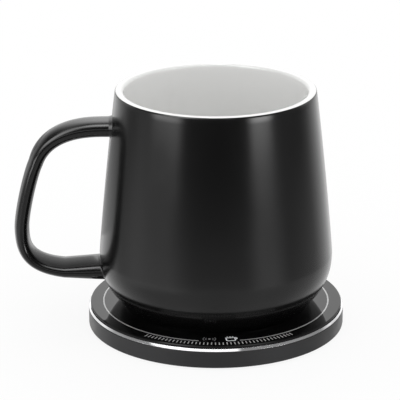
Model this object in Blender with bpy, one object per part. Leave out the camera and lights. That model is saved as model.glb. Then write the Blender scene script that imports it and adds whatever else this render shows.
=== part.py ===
"""Mug warmer: a thin round power pad with a glass top, and the self-heating mug that stands on it.

Metres, +Z up. The origin is the centre of the pad's underside, on the table. The marks on the glass
face -Y, the power socket faces +Y and the mug's handle points along -X. The mug lifts off along +Z.
"""

import math

import bmesh
import bpy
from mathutils import Matrix, Vector
from mathutils.geometry import interpolate_bezier

MM = 0.001

# Clearances and cuts
SEAT_GAP = 0.25 * MM  # between two pieces that rest on or in each other
FILM_GAP = 0.15 * MM  # on each side of a tape, film or thin plate
OVERRUN = 1.0 * MM  # how far a cutter passes the face that it opens
WELD_DISTANCE = 0.001 * MM

# Facets
ROUND_STEPS = 56  # round pieces that show
HIDDEN_STEPS = 32  # round pieces inside
SMALL_STEPS = 12  # screws, posts and holes
LOOP_STEPS = 24  # one turn of a coil
SHARP_ANGLE = math.radians(32)

# Anti-slip pad under the disc
PAD_THICKNESS = 1.0 * MM
PAD_BEVEL = 0.2 * MM

# Housing: the side wall with the shelf that carries the trim ring
DISC_RADIUS = 55.0 * MM
WALL_BOTTOM = 0.7 * MM
WALL_TOP = 7.7 * MM
WALL_THICKNESS = 1.8 * MM
WALL_BEVEL = 0.4 * MM
SHELF_WIDTH = 1.6 * MM
SHELF_THICKNESS = 1.0 * MM
BOSS_COUNT = 4
BOSS_INSET = 4.9 * MM  # from the wall's inside to the middle of a boss
BOSS_RADIUS = 2.4 * MM
BOSS_RIB_WIDTH = 2.0 * MM
BOSS_OVERLAP = 0.2 * MM  # how far bosses and ribs run up into the shelf
BOSS_HOLE_DEPTH = 2.9 * MM

# Bottom cover and its screws
COVER_RIM_WIDTH = 1.7 * MM  # round the recess for the pad
COVER_RIM_BEVEL = 0.3 * MM
COVER_TOP = 2.3 * MM
BOARD_RIB_INSET = 1.5 * MM  # from the board's edge to the middle of the rib
BOARD_RIB_WIDTH = 1.0 * MM
BOARD_RIB_HEIGHT = 0.6 * MM
SCREW_SEAT_RADIUS = 3.2 * MM
SCREW_SEAT_HEIGHT = 0.7 * MM
SCREW_HEAD_RADIUS = 1.9 * MM
SCREW_HEAD_HEIGHT = 0.5 * MM
SCREW_SHANK_RADIUS = 0.95 * MM
SCREW_SHANK_LENGTH = 4.1 * MM
SCREW_CROSS_LENGTH = 2.0 * MM
SCREW_CROSS_WIDTH = 0.5 * MM
SCREW_CROSS_DEPTH = 0.3 * MM
SCREW_HEAD_CLEARANCE = 0.4 * MM

# Trim ring: the bright bevel round the glass
RING_HEIGHT = 1.1 * MM
RING_BEVEL_RUN = 0.4 * MM
RING_EDGE = 0.1 * MM
RING_FLANGE_THICKNESS = 0.45 * MM
RING_SKIRT_WIDTH = 0.7 * MM
RING_SKIRT_DEPTH = 0.6 * MM
RING_SKIRT_GAP = 0.3 * MM

# Glass top and the tape that holds it
GLASS_EDGE_GAP = 0.3 * MM
GLASS_THICKNESS = 1.2 * MM
GLASS_BEVEL = 0.35 * MM
TAPE_THICKNESS = 0.2 * MM
TAPE_WIDTH = 2.8 * MM
TAPE_INSET = 0.5 * MM

# Control board
BOARD_THICKNESS = 1.0 * MM
BOARD_SCREW_GAP = 0.6 * MM  # between its edge and the screw seats
BOARD_FRONT_MARGIN = 0.8 * MM  # past the block round the lit marks
BOARD_SIDE_MARGIN = 0.65 * MM
BOARD_REAR_WIDTH = 16.0 * MM

# Power socket, sunk into the rear of the board
SOCKET_WIDTH = 8.94 * MM
SOCKET_HEIGHT = 3.26 * MM
SOCKET_LENGTH = 7.35 * MM
SOCKET_WALL = 0.3 * MM
SOCKET_RECESS = 0.5 * MM
SOCKET_RISE = 1.4 * MM  # its middle above the board's underside
SOCKET_OVERHANG = 4.0 * MM  # past the board's rear edge
TONGUE_WIDTH = 6.69 * MM
TONGUE_THICKNESS = 0.7 * MM
TONGUE_LENGTH = 4.6 * MM
TONGUE_BASE_LENGTH = 1.6 * MM

# Two lit marks at the front: lamps, light guides and the block that holds them
MARK_INSET = 8.5 * MM  # from the disc's edge to the middle of a mark
MARK_SPACING = 8.7 * MM
WELL_WIDTH = 5.6 * MM
WELL_LENGTH = 4.6 * MM
SHIELD_WALL = 0.7 * MM
LAMP_SIZE = (3.0 * MM, 1.4 * MM, 0.8 * MM)

# Chips and power pieces on the board
CHIP_SIZE = (5.0 * MM, 5.0 * MM, 0.8 * MM)
CHIP_PLACE = (10.0 * MM, -12.0 * MM)
TRANSISTOR_SIZE = (5.0 * MM, 6.0 * MM, 0.9 * MM)
TRANSISTOR_PLACES = ((-15.0 * MM, 9.0 * MM), (-15.0 * MM, -3.0 * MM))
INPUT_CHIP_SIZE = (4.0 * MM, 4.0 * MM, 0.8 * MM)
INPUT_CHIP_SETBACK = 6.55 * MM  # from the socket's rear to the middle of the chip
TALL_PIECE_INSET = 3.5 * MM  # from the board's edge to the middle of the tall pieces
INDUCTOR_SIZE = (6.4 * MM, 6.4 * MM, 3.0 * MM)
INDUCTOR_ANGLE = math.radians(152)
CAPACITOR_SIZE = (3.2 * MM, 4.5 * MM, 2.5 * MM)
CAPACITOR_ANGLES = [math.radians(degrees) for degrees in (-16, -4, 8)]
PIECE_BEVEL = 0.15 * MM

# Coil stack under the glass
TRAY_SIDE_GAP = 0.8 * MM  # to the tall pieces round it
TRAY_THICKNESS = 0.55 * MM
TRAY_RIM_WIDTH = 0.8 * MM
TRAY_RIM_HEIGHT = 0.7 * MM
TRAY_LEG_COUNT = 4
TRAY_LEG_RADIUS = 1.2 * MM
TRAY_LEG_HEIGHT = 1.1 * MM
TRAY_LEG_INSET = 4.0 * MM
FERRITE_THICKNESS = 0.65 * MM
WIRE_DIAMETER = 1.1 * MM
WIRE_SPACING = 0.5 * MM
COIL_TURNS = 7
COIL_EDGE_MARGIN = 4.75 * MM  # from the ferrite plate's edge to the last turn
SHEET_THICKNESS = 0.3 * MM
SHEET_HOLE_RADIUS = 4.4 * MM
SENSOR_RADIUS = 3.4 * MM

# Mug: outline of the ceramic, heights above its foot
MUG_HEIGHT = 94.1 * MM
RIM_RADIUS = 42.5 * MM
BELLY_RADIUS = 49.9 * MM
BELLY_HEIGHT = 22.2 * MM
FOOT_RADIUS = 39.9 * MM
FOOT_BEVEL = 0.4 * MM
MUG_WALL = 3.7 * MM
LIP_OUTER_RADIUS = 0.8 * MM
LIP_INNER_RADIUS = 1.4 * MM
FLOOR_THICKNESS = 4.2 * MM
INSIDE_FLOOR_RADIUS = 34.0 * MM
HEEL_HANDLE_SHARES = ((0.79, 0.37), (1.0, 0.62))
SIDE_HANDLE_SHARES = ((0.0, 0.03), (0.41, 0.51))
INSIDE_HEEL_HANDLE_SHARES = ((0.0, 0.60), (0.45, 1.0))
HEEL_STEPS = 5
SIDE_STEPS = 8
LIP_STEPS = 3
INSIDE_HEEL_STEPS = 4

# Handle: its centre line as shares of its reach and of the height between its two roots
HANDLE_STANDOFF = 33.0 * MM  # from the belly to the middle of the grip
HANDLE_DROP = 16.0 * MM  # from the rim to the middle of the upper bar
HANDLE_RAISE = 7.0 * MM  # from the middle of the lower bar to the belly
HANDLE_WIDTH = 14.6 * MM  # upper bar and grip
LOWER_BAR_WIDTH = 18.0 * MM
LOWER_ROOT_WIDTH = 19.0 * MM
UPPER_BAR_THICKNESS = 7.9 * MM
GRIP_THICKNESS = 6.3 * MM
LOWER_BAR_THICKNESS = 6.2 * MM
LOWER_ROOT_THICKNESS = 10.0 * MM
HANDLE_FULLNESS = 2.2  # of the section: 2 is an ellipse, more comes closer to a box
HANDLE_ROOT_WALL_SHARE = 0.7  # how far into the body's wall the two roots go
HANDLE_SECTION_STEPS = 16
HANDLE_CORNER_STEPS = 9
HANDLE_GRIP_STEPS = 4
UPPER_BEND_SHARES = ((0.588, 1.0), (0.881, 1.0), (0.911, 0.781), (0.921, 0.753))
GRIP_SHARES = ((0.921, 0.753), (0.952, 0.665), (1.0, 0.389), (1.0, 0.296))
LOWER_BEND_SHARES = ((1.0, 0.296), (1.0, 0.165), (0.99, 0.034), (0.784, 0.0))

# Heater and receiver in the mug's foot, heights above the foot
FOOT_RING_WIDTH = 2.95 * MM
CAP_SEAT_WIDTH = 1.95 * MM
HEATER_SPACE_TOP = 8.4 * MM
CAP_RECESS = 0.3 * MM
CAP_THICKNESS = 1.5 * MM
CAP_BEVEL = 0.3 * MM
CAP_DISH_INSET = 8.7 * MM
CAP_DISH_DEPTH = 0.3 * MM
GASKET_WIDTH = 1.4 * MM
GASKET_THICKNESS = 0.6 * MM
RECEIVER_WIRE_DIAMETER = 0.9 * MM
RECEIVER_COIL_TURNS = 5
RECEIVER_COIL_EDGE_MARGIN = 5.0 * MM
RECEIVER_BOARD_INSET = 3.0 * MM  # from the side of the space in the foot
RECEIVER_BOARD_THICKNESS = 0.8 * MM
RECTIFIER_SIZE = (5.0 * MM, 5.0 * MM, 0.8 * MM)
RECTIFIER_PLACE = (14.0 * MM, 6.0 * MM)
INSULATION_INSET = 1.0 * MM
INSULATION_THICKNESS = 1.6 * MM
INSULATION_HOLE_RADIUS = 4.0 * MM
FILM_INSET = 2.0 * MM
FILM_THICKNESS = 0.35 * MM
MUG_SENSOR_RADIUS = 3.2 * MM

# Places worked out from the sizes above
WALL_INSIDE_RADIUS = DISC_RADIUS - WALL_THICKNESS
SHELF_INSIDE_RADIUS = WALL_INSIDE_RADIUS - SHELF_WIDTH
SHELF_BOTTOM = WALL_TOP - SHELF_THICKNESS
COVER_RADIUS = WALL_INSIDE_RADIUS - SEAT_GAP
COVER_RECESS_RADIUS = COVER_RADIUS - COVER_RIM_WIDTH
PAD_RADIUS = COVER_RECESS_RADIUS - SEAT_GAP
COVER_RECESS_TOP = PAD_THICKNESS + SEAT_GAP
SCREW_SEAT_TOP = COVER_TOP + SCREW_SEAT_HEIGHT
SCREW_HEAD_SEAT = COVER_RECESS_TOP + SCREW_HEAD_HEIGHT + SEAT_GAP
SCREW_HOLE_RADIUS = SCREW_SHANK_RADIUS + SEAT_GAP
BOSS_BOTTOM = SCREW_SEAT_TOP + SEAT_GAP
BOSS_CIRCLE_RADIUS = WALL_INSIDE_RADIUS - BOSS_INSET
RING_BOTTOM = WALL_TOP + SEAT_GAP
RING_FLANGE_TOP = RING_BOTTOM + RING_FLANGE_THICKNESS
RING_LIP_RADIUS = DISC_RADIUS - RING_BEVEL_RUN
RING_INSIDE_RADIUS = SHELF_INSIDE_RADIUS - RING_SKIRT_GAP - RING_SKIRT_WIDTH
GLASS_RADIUS = RING_LIP_RADIUS - RING_EDGE - GLASS_EDGE_GAP
GLASS_BOTTOM = RING_FLANGE_TOP + TAPE_THICKNESS + 2 * FILM_GAP
GLASS_TOP = GLASS_BOTTOM + GLASS_THICKNESS
BOARD_RADIUS = BOSS_CIRCLE_RADIUS - SCREW_SEAT_RADIUS - BOARD_SCREW_GAP
BOARD_RIB_RADIUS = BOARD_RADIUS - BOARD_RIB_INSET
BOARD_BOTTOM = COVER_TOP + BOARD_RIB_HEIGHT + SEAT_GAP
BOARD_TOP = BOARD_BOTTOM + BOARD_THICKNESS
ON_BOARD = BOARD_TOP + SEAT_GAP
UNDER_GLASS = GLASS_BOTTOM - SEAT_GAP
SOCKET_MIDDLE = BOARD_BOTTOM + SOCKET_RISE
SOCKET_FRONT = DISC_RADIUS - SOCKET_RECESS
SOCKET_REAR = SOCKET_FRONT - SOCKET_LENGTH
BOARD_REAR_REACH = SOCKET_FRONT - SOCKET_OVERHANG
INPUT_CHIP_PLACE = (0, SOCKET_REAR - INPUT_CHIP_SETBACK)
MARK_CIRCLE_RADIUS = DISC_RADIUS - MARK_INSET
SHIELD_WIDTH = MARK_SPACING + WELL_WIDTH + 2 * SHIELD_WALL
SHIELD_LENGTH = WELL_LENGTH + 2 * SHIELD_WALL
BOARD_FRONT_REACH = MARK_CIRCLE_RADIUS + SHIELD_LENGTH / 2 + BOARD_FRONT_MARGIN
BOARD_FRONT_WIDTH = SHIELD_WIDTH + 2 * BOARD_SIDE_MARGIN
TALL_CIRCLE_RADIUS = BOARD_RADIUS - TALL_PIECE_INSET
TRAY_RADIUS = TALL_CIRCLE_RADIUS - INDUCTOR_SIZE[0] / 2 - TRAY_SIDE_GAP
TRAY_LEG_CIRCLE_RADIUS = TRAY_RADIUS - TRAY_LEG_INSET
TRAY_BOTTOM = ON_BOARD + TRAY_LEG_HEIGHT
TRAY_TOP = TRAY_BOTTOM + TRAY_THICKNESS
FERRITE_RADIUS = TRAY_RADIUS - TRAY_RIM_WIDTH - SEAT_GAP
FERRITE_BOTTOM = TRAY_TOP + FILM_GAP
FERRITE_TOP = FERRITE_BOTTOM + FERRITE_THICKNESS
COIL_BOTTOM = FERRITE_TOP + FILM_GAP
COIL_INNER_RADIUS = FERRITE_RADIUS - COIL_EDGE_MARGIN - COIL_TURNS * (WIRE_DIAMETER + WIRE_SPACING)
SHEET_BOTTOM = COIL_BOTTOM + WIRE_DIAMETER + SEAT_GAP
MUG_BASE = GLASS_TOP + SEAT_GAP
INSIDE_FLOOR = HEATER_SPACE_TOP + FLOOR_THICKNESS
HANDLE_REACH = BELLY_RADIUS + HANDLE_STANDOFF
HANDLE_TOP = MUG_HEIGHT - HANDLE_DROP
HANDLE_BOTTOM = BELLY_HEIGHT - HANDLE_RAISE
CAP_SEAT_RADIUS = FOOT_RADIUS - FOOT_RING_WIDTH
CAP_RADIUS = CAP_SEAT_RADIUS - SEAT_GAP
HEATER_SPACE_RADIUS = CAP_SEAT_RADIUS - CAP_SEAT_WIDTH
RECEIVER_BOARD_RADIUS = HEATER_SPACE_RADIUS - RECEIVER_BOARD_INSET
INSULATION_RADIUS = HEATER_SPACE_RADIUS - INSULATION_INSET
FILM_RADIUS = HEATER_SPACE_RADIUS - FILM_INSET
CAP_TOP = CAP_RECESS + CAP_THICKNESS
GASKET_BOTTOM = CAP_TOP + SEAT_GAP
CAP_SEAT_TOP = GASKET_BOTTOM + GASKET_THICKNESS + SEAT_GAP
RECEIVER_COIL_BOTTOM = CAP_TOP + SEAT_GAP
RECEIVER_COIL_WIDTH = RECEIVER_COIL_TURNS * (RECEIVER_WIRE_DIAMETER + WIRE_SPACING)
RECEIVER_COIL_INNER_RADIUS = RECEIVER_BOARD_RADIUS - RECEIVER_COIL_EDGE_MARGIN - RECEIVER_COIL_WIDTH
RECEIVER_FERRITE_BOTTOM = RECEIVER_COIL_BOTTOM + RECEIVER_WIRE_DIAMETER + FILM_GAP
RECEIVER_FERRITE_TOP = RECEIVER_FERRITE_BOTTOM + FERRITE_THICKNESS
RECEIVER_BOARD_BOTTOM = RECEIVER_FERRITE_TOP + SEAT_GAP
RECEIVER_BOARD_TOP = RECEIVER_BOARD_BOTTOM + RECEIVER_BOARD_THICKNESS
FILM_BOTTOM = HEATER_SPACE_TOP - FILM_GAP - FILM_THICKNESS
INSULATION_TOP = FILM_BOTTOM - FILM_GAP


# Materials


def finish(name, colour, roughness, metallic=0.0):
    """A material with a plain colour, roughness and metallic value."""
    material = bpy.data.materials.new(name)
    material.use_nodes = True
    shader = material.node_tree.nodes["Principled BSDF"]
    shader.inputs["Base Color"].default_value = (*colour, 1.0)
    shader.inputs["Roughness"].default_value = roughness
    shader.inputs["Metallic"].default_value = metallic
    material.diffuse_color = (*colour, 1.0)
    return material


# Building blocks


def new_object(name, mesh, material, parent=None):
    """Turn a bmesh into an object of the scene, shaded smooth between its sharp edges."""
    bmesh.ops.recalc_face_normals(mesh, faces=mesh.faces)
    data = bpy.data.meshes.new(name)
    mesh.to_mesh(data)
    mesh.free()
    data.shade_smooth()
    data.set_sharp_from_angle(angle=SHARP_ANGLE)
    data.materials.append(material)
    piece = bpy.data.objects.new(name, data)
    bpy.context.scene.collection.objects.link(piece)
    piece.parent = parent
    return piece


def turned(name, outline, material, parent=None, steps=ROUND_STEPS):
    """Turn an outline of (radius, height) points about Z.

    An outline that starts and ends on the axis makes a solid piece; any other is closed to a ring.
    """
    mesh = bmesh.new()
    corners = [mesh.verts.new((radius, 0, height)) for radius, height in outline]
    order = list(corners)
    if outline[0][0] > 0:
        order.append(corners[0])
    edges = [mesh.edges.new(pair) for pair in zip(order, order[1:])]
    bmesh.ops.spin(
        mesh, geom=corners + edges, cent=(0, 0, 0), axis=(0, 0, 1),
        angle=2 * math.pi, steps=steps, use_merge=True,
    )
    bmesh.ops.remove_doubles(mesh, verts=mesh.verts, dist=WELD_DISTANCE)
    return new_object(name, mesh, material, parent)


def extruded(name, outline, bottom, top, material, parent=None):
    """Extrude an outline of (x, y) points from one height to another."""
    mesh = bmesh.new()
    face = mesh.faces.new([mesh.verts.new((x, y, bottom)) for x, y in outline])
    grown = bmesh.ops.extrude_face_region(mesh, geom=[face])["geom"]
    raised = [item for item in grown if isinstance(item, bmesh.types.BMVert)]
    bmesh.ops.translate(mesh, verts=raised, vec=(0, 0, top - bottom))
    return new_object(name, mesh, material, parent)


def block(name, size, bottom, material, place=(0, 0), angle=0.0, bevel=0.0, parent=None):
    """A box of the given size whose underside is at the given height."""
    mesh = bmesh.new()
    bmesh.ops.create_cube(mesh, size=1, matrix=Matrix.Diagonal((*size, 1)))
    if bevel:
        bmesh.ops.bevel(mesh, geom=mesh.edges[:], offset=bevel, segments=1, affect="EDGES")
    piece = new_object(name, mesh, material, parent)
    piece.location = (*place, bottom + size[2] / 2)
    piece.rotation_euler.z = angle
    return piece


def disc_outline(radius, bottom, top, bevel=0.0):
    """Outline of a disc whose two edges may be bevelled."""
    if not bevel:
        return [(0, bottom), (radius, bottom), (radius, top), (0, top)]
    return [
        (0, bottom), (radius - bevel, bottom), (radius, bottom + bevel),
        (radius, top - bevel), (radius - bevel, top), (0, top),
    ]


def ring_outline(inside, outside, bottom, top):
    """Outline of a flat ring."""
    return [(inside, bottom), (outside, bottom), (outside, top), (inside, top)]


def bezier(points, steps):
    """Points along the Bezier curve with the given end and handle points, both ends included."""
    corners = [Vector((*point, 0)) for point in points]
    return [tuple(point[:2]) for point in interpolate_bezier(*corners, steps + 1)]


def bezier_between(start, end, handle_shares, steps):
    """A Bezier curve whose handles are given as shares of the way from start to end."""
    handles = [
        tuple(first + share * (last - first) for first, last, share in zip(start, end, shares))
        for shares in handle_shares
    ]
    return bezier((start, handles[0], handles[1], end), steps)


def arc(middle, radius, start, end, steps):
    """Points along an arc in an outline, both ends included."""
    points = []
    for step in range(steps + 1):
        angle = start + (end - start) * step / steps
        points.append((middle[0] + radius * math.cos(angle), middle[1] + radius * math.sin(angle)))
    return points


def around(count, radius, first_angle=0.0):
    """Places evenly spaced on a circle, each with its angle."""
    for index in range(count):
        angle = first_angle + index * 2 * math.pi / count
        yield (radius * math.cos(angle), radius * math.sin(angle)), angle


def add_boolean(piece, other, operation):
    """Cut or join another object, which then no longer counts as a piece of its own."""
    modifier = piece.modifiers.new(other.name, "BOOLEAN")
    modifier.operation = operation
    modifier.object = other
    other.hide_render = True
    other.display_type = "WIRE"


def cut(piece, cutter):
    """Cut a shape out of a piece."""
    add_boolean(piece, cutter, "DIFFERENCE")


def join(piece, addition):
    """Join a shape to a piece."""
    add_boolean(piece, addition, "UNION")


def post(name, place, radius, bottom, top, material):
    """A small upright cylinder."""
    outline = disc_outline(radius, bottom, top)
    piece = turned(name, outline, material, steps=SMALL_STEPS)
    piece.location = (*place, 0)
    return piece


def spiral_coil(name, inner_radius, turns, wire, bottom, material, parent=None):
    """A flat spiral of one unbroken wire, and the least gap between its turns."""
    pitch = wire + WIRE_SPACING
    first_radius = inner_radius + wire / 2
    points = []
    for index in range(turns * LOOP_STEPS + 1):
        turn = index / LOOP_STEPS
        radius = first_radius + pitch * turn
        angle = 2 * math.pi * turn
        points.append(Vector((radius * math.cos(angle), radius * math.sin(angle), bottom + wire / 2)))
    data = bpy.data.curves.new(name, "CURVE")
    data.dimensions = "3D"
    data.bevel_depth = wire / 2
    data.bevel_resolution = 1
    data.use_fill_caps = True
    spline = data.splines.new("POLY")
    spline.points.add(len(points) - 1)
    for control, point in zip(spline.points, points):
        control.co = (*point, 1)
    data.materials.append(material)
    piece = bpy.data.objects.new(name, data)
    bpy.context.scene.collection.objects.link(piece)
    piece.parent = parent
    middles = [(start + end) / 2 for start, end in zip(points, points[1:])]
    distances = [
        (points[index + LOOP_STEPS] - other).length
        for index in range(len(points) - LOOP_STEPS)
        for other in (points[index], middles[index])
    ]
    print(f"{name}: least gap between turns {(min(distances) - wire) / MM:.2f} mm")
    return piece


# Warmer


def build_housing(plastic):
    """The side wall, its shelf, the four screw bosses with their ribs, and the socket's opening."""
    housing = turned("housing", [
        (WALL_INSIDE_RADIUS, WALL_BOTTOM),
        (DISC_RADIUS - WALL_BEVEL, WALL_BOTTOM),
        (DISC_RADIUS, WALL_BOTTOM + WALL_BEVEL),
        (DISC_RADIUS, WALL_TOP),
        (SHELF_INSIDE_RADIUS, WALL_TOP),
        (SHELF_INSIDE_RADIUS, SHELF_BOTTOM),
        (WALL_INSIDE_RADIUS, SHELF_BOTTOM),
    ], plastic)
    boss_top = SHELF_BOTTOM + BOSS_OVERLAP
    rib_length = WALL_INSIDE_RADIUS + WALL_THICKNESS / 2 - BOSS_CIRCLE_RADIUS
    for number, (place, angle) in enumerate(boss_places(), 1):
        join(housing, post(f"boss_{number}", place, BOSS_RADIUS, BOSS_BOTTOM, boss_top, plastic))
        rib_middle = BOSS_CIRCLE_RADIUS + rib_length / 2
        rib_bottom = BOSS_BOTTOM + BOSS_RIB_WIDTH / 2
        join(housing, block(
            f"boss_rib_{number}", (rib_length, BOSS_RIB_WIDTH, boss_top - rib_bottom), rib_bottom, plastic,
            place=(rib_middle * math.cos(angle), rib_middle * math.sin(angle)), angle=angle,
        ))
    for number, (place, _) in enumerate(boss_places(), 1):
        hole_top = BOSS_BOTTOM + BOSS_HOLE_DEPTH
        cut(housing, post(
            f"boss_hole_{number}", place, SCREW_HOLE_RADIUS, BOSS_BOTTOM - OVERRUN, hole_top, plastic,
        ))
    cut(housing, socket_shape(
        "socket_opening", SEAT_GAP, SOCKET_REAR, DISC_RADIUS + OVERRUN, plastic,
    ))


def boss_places():
    """Places of the screw bosses, between the socket, the marks and the two sides."""
    return around(BOSS_COUNT, BOSS_CIRCLE_RADIUS, math.pi / BOSS_COUNT)


def build_cover(plastic, steel):
    """The bottom cover, with its recess for the pad, its rib for the board and its four screws."""
    rib_inside = BOARD_RIB_RADIUS - BOARD_RIB_WIDTH / 2
    rib_outside = BOARD_RIB_RADIUS + BOARD_RIB_WIDTH / 2
    rib_top = COVER_TOP + BOARD_RIB_HEIGHT
    cover = turned("bottom_cover", [
        (0, COVER_RECESS_TOP),
        (COVER_RECESS_RADIUS, COVER_RECESS_TOP),
        (COVER_RECESS_RADIUS, WALL_BOTTOM),
        (COVER_RADIUS - COVER_RIM_BEVEL, WALL_BOTTOM),
        (COVER_RADIUS, WALL_BOTTOM + COVER_RIM_BEVEL),
        (COVER_RADIUS, COVER_TOP),
        (rib_outside, COVER_TOP),
        (rib_outside, rib_top),
        (rib_inside, rib_top),
        (rib_inside, COVER_TOP),
        (0, COVER_TOP),
    ], plastic)
    seat_bottom = COVER_RECESS_TOP + SCREW_HEAD_HEIGHT
    for number, (place, _) in enumerate(boss_places(), 1):
        join(cover, post(
            f"screw_seat_{number}", place, SCREW_SEAT_RADIUS, seat_bottom, SCREW_SEAT_TOP, plastic,
        ))
    for number, (place, _) in enumerate(boss_places(), 1):
        cut(cover, post(
            f"screw_head_recess_{number}", place, SCREW_HEAD_RADIUS + SCREW_HEAD_CLEARANCE,
            COVER_RECESS_TOP - SEAT_GAP, SCREW_HEAD_SEAT, plastic,
        ))
        cut(cover, post(
            f"screw_hole_{number}", place, SCREW_HOLE_RADIUS, COVER_RECESS_TOP,
            SCREW_SEAT_TOP + OVERRUN, plastic,
        ))
        build_screw(number, place, steel)


def build_screw(number, place, steel):
    """One cover screw: a flat head at the bottom, with a cross recess, and its shank."""
    head_top = COVER_RECESS_TOP + SCREW_HEAD_HEIGHT
    screw = turned(f"cover_screw_{number}", [
        (0, COVER_RECESS_TOP),
        (SCREW_HEAD_RADIUS, COVER_RECESS_TOP),
        (SCREW_HEAD_RADIUS, head_top),
        (SCREW_SHANK_RADIUS, head_top),
        (SCREW_SHANK_RADIUS, head_top + SCREW_SHANK_LENGTH),
        (0, head_top + SCREW_SHANK_LENGTH),
    ], steel, steps=SMALL_STEPS)
    screw.location = (*place, 0)
    cross_height = SCREW_CROSS_DEPTH + SEAT_GAP
    for side, angle in enumerate((0, math.pi / 2), 1):
        cut(screw, block(
            f"screw_cross_{number}_{side}", (SCREW_CROSS_LENGTH, SCREW_CROSS_WIDTH, cross_height),
            COVER_RECESS_TOP - SEAT_GAP, steel, place=place, angle=angle,
        ))


def build_top(silver, tape, glass):
    """The trim ring, the ring of tape on its flange and the glass."""
    ring_top = RING_BOTTOM + RING_HEIGHT
    skirt_outside = SHELF_INSIDE_RADIUS - RING_SKIRT_GAP
    skirt_bottom = RING_BOTTOM - RING_SKIRT_DEPTH
    turned("trim_ring", [
        (RING_INSIDE_RADIUS, skirt_bottom),
        (skirt_outside, skirt_bottom),
        (skirt_outside, RING_BOTTOM),
        (DISC_RADIUS, RING_BOTTOM),
        (RING_LIP_RADIUS, ring_top),
        (RING_LIP_RADIUS - RING_EDGE, ring_top),
        (RING_LIP_RADIUS - RING_EDGE, RING_FLANGE_TOP),
        (RING_INSIDE_RADIUS, RING_FLANGE_TOP),
    ], silver)
    tape_outside = GLASS_RADIUS - TAPE_INSET
    tape_bottom = RING_FLANGE_TOP + FILM_GAP
    turned("glass_tape", ring_outline(
        tape_outside - TAPE_WIDTH, tape_outside, tape_bottom, tape_bottom + TAPE_THICKNESS,
    ), tape)
    turned("top_glass", [
        (0, GLASS_BOTTOM),
        (GLASS_RADIUS, GLASS_BOTTOM),
        (GLASS_RADIUS, GLASS_TOP - GLASS_BEVEL),
        (GLASS_RADIUS - GLASS_BEVEL, GLASS_TOP),
        (0, GLASS_TOP),
    ], glass)


def board_outline():
    """A disc with a tab at the front for the marks and one at the rear for the socket."""
    points = []
    tabs = (
        (BOARD_REAR_WIDTH / 2, BOARD_REAR_REACH, 1, BOARD_FRONT_WIDTH / 2),
        (BOARD_FRONT_WIDTH / 2, BOARD_FRONT_REACH, -1, BOARD_REAR_WIDTH / 2),
    )
    for half_width, reach, side, next_half_width in tabs:
        points += [(side * half_width, side * reach), (-side * half_width, side * reach)]
        tab_angle = side * math.pi / 2
        start = tab_angle + math.asin(half_width / BOARD_RADIUS)
        end = tab_angle + math.pi - math.asin(next_half_width / BOARD_RADIUS)
        arc_steps = HIDDEN_STEPS // 2
        for step in range(arc_steps + 1):
            angle = start + (end - start) * step / arc_steps
            points.append((BOARD_RADIUS * math.cos(angle), BOARD_RADIUS * math.sin(angle)))
    return points


def socket_shape(name, margin, rear, front, material):
    """A bar with the socket's rounded section, grown by a margin, between two places along Y."""
    radius = SOCKET_HEIGHT / 2 + margin
    half_flat = SOCKET_WIDTH / 2 - SOCKET_HEIGHT / 2
    outline = []
    arc_steps = SMALL_STEPS // 2
    for side in (1, -1):
        for step in range(arc_steps + 1):
            angle = -side * math.pi / 2 + math.pi * step / arc_steps
            outline.append((side * half_flat + radius * math.cos(angle), radius * math.sin(angle)))
    bar = extruded(name, outline, -front, -rear, material)
    bar.rotation_euler.x = math.pi / 2
    bar.location.z = SOCKET_MIDDLE
    return bar


def build_board(fibreglass, steel, black):
    """The control board with its notch, and the power socket that is sunk into it."""
    board = extruded("control_board", board_outline(), BOARD_BOTTOM, BOARD_TOP, fibreglass)
    notch_length = BOARD_REAR_REACH + OVERRUN - SOCKET_REAR + SEAT_GAP
    cut(board, block(
        "socket_notch", (SOCKET_WIDTH + 2 * SEAT_GAP, notch_length, BOARD_THICKNESS + 2 * OVERRUN),
        BOARD_BOTTOM - OVERRUN, fibreglass, place=(0, SOCKET_REAR - SEAT_GAP + notch_length / 2),
    ))
    shell = socket_shape("power_socket_shell", 0, SOCKET_REAR, SOCKET_FRONT, steel)
    mouth = socket_shape(
        "socket_mouth", -SOCKET_WALL, SOCKET_REAR + SOCKET_WALL, SOCKET_FRONT + OVERRUN, steel,
    )
    cut(shell, mouth)
    tongue_rear = SOCKET_REAR + SOCKET_WALL + SEAT_GAP
    base_height = SOCKET_HEIGHT - 2 * SOCKET_WALL - 2 * SEAT_GAP
    tongue = block(
        "power_socket_tongue", (TONGUE_WIDTH, TONGUE_BASE_LENGTH, base_height),
        SOCKET_MIDDLE - base_height / 2, black, place=(0, tongue_rear + TONGUE_BASE_LENGTH / 2),
    )
    blade_length = TONGUE_LENGTH + TONGUE_BASE_LENGTH / 2
    join(tongue, block(
        "socket_blade", (TONGUE_WIDTH - 2 * SEAT_GAP, blade_length, TONGUE_THICKNESS),
        SOCKET_MIDDLE - TONGUE_THICKNESS / 2, black,
        place=(0, tongue_rear + TONGUE_BASE_LENGTH / 2 + blade_length / 2),
    ))


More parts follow.
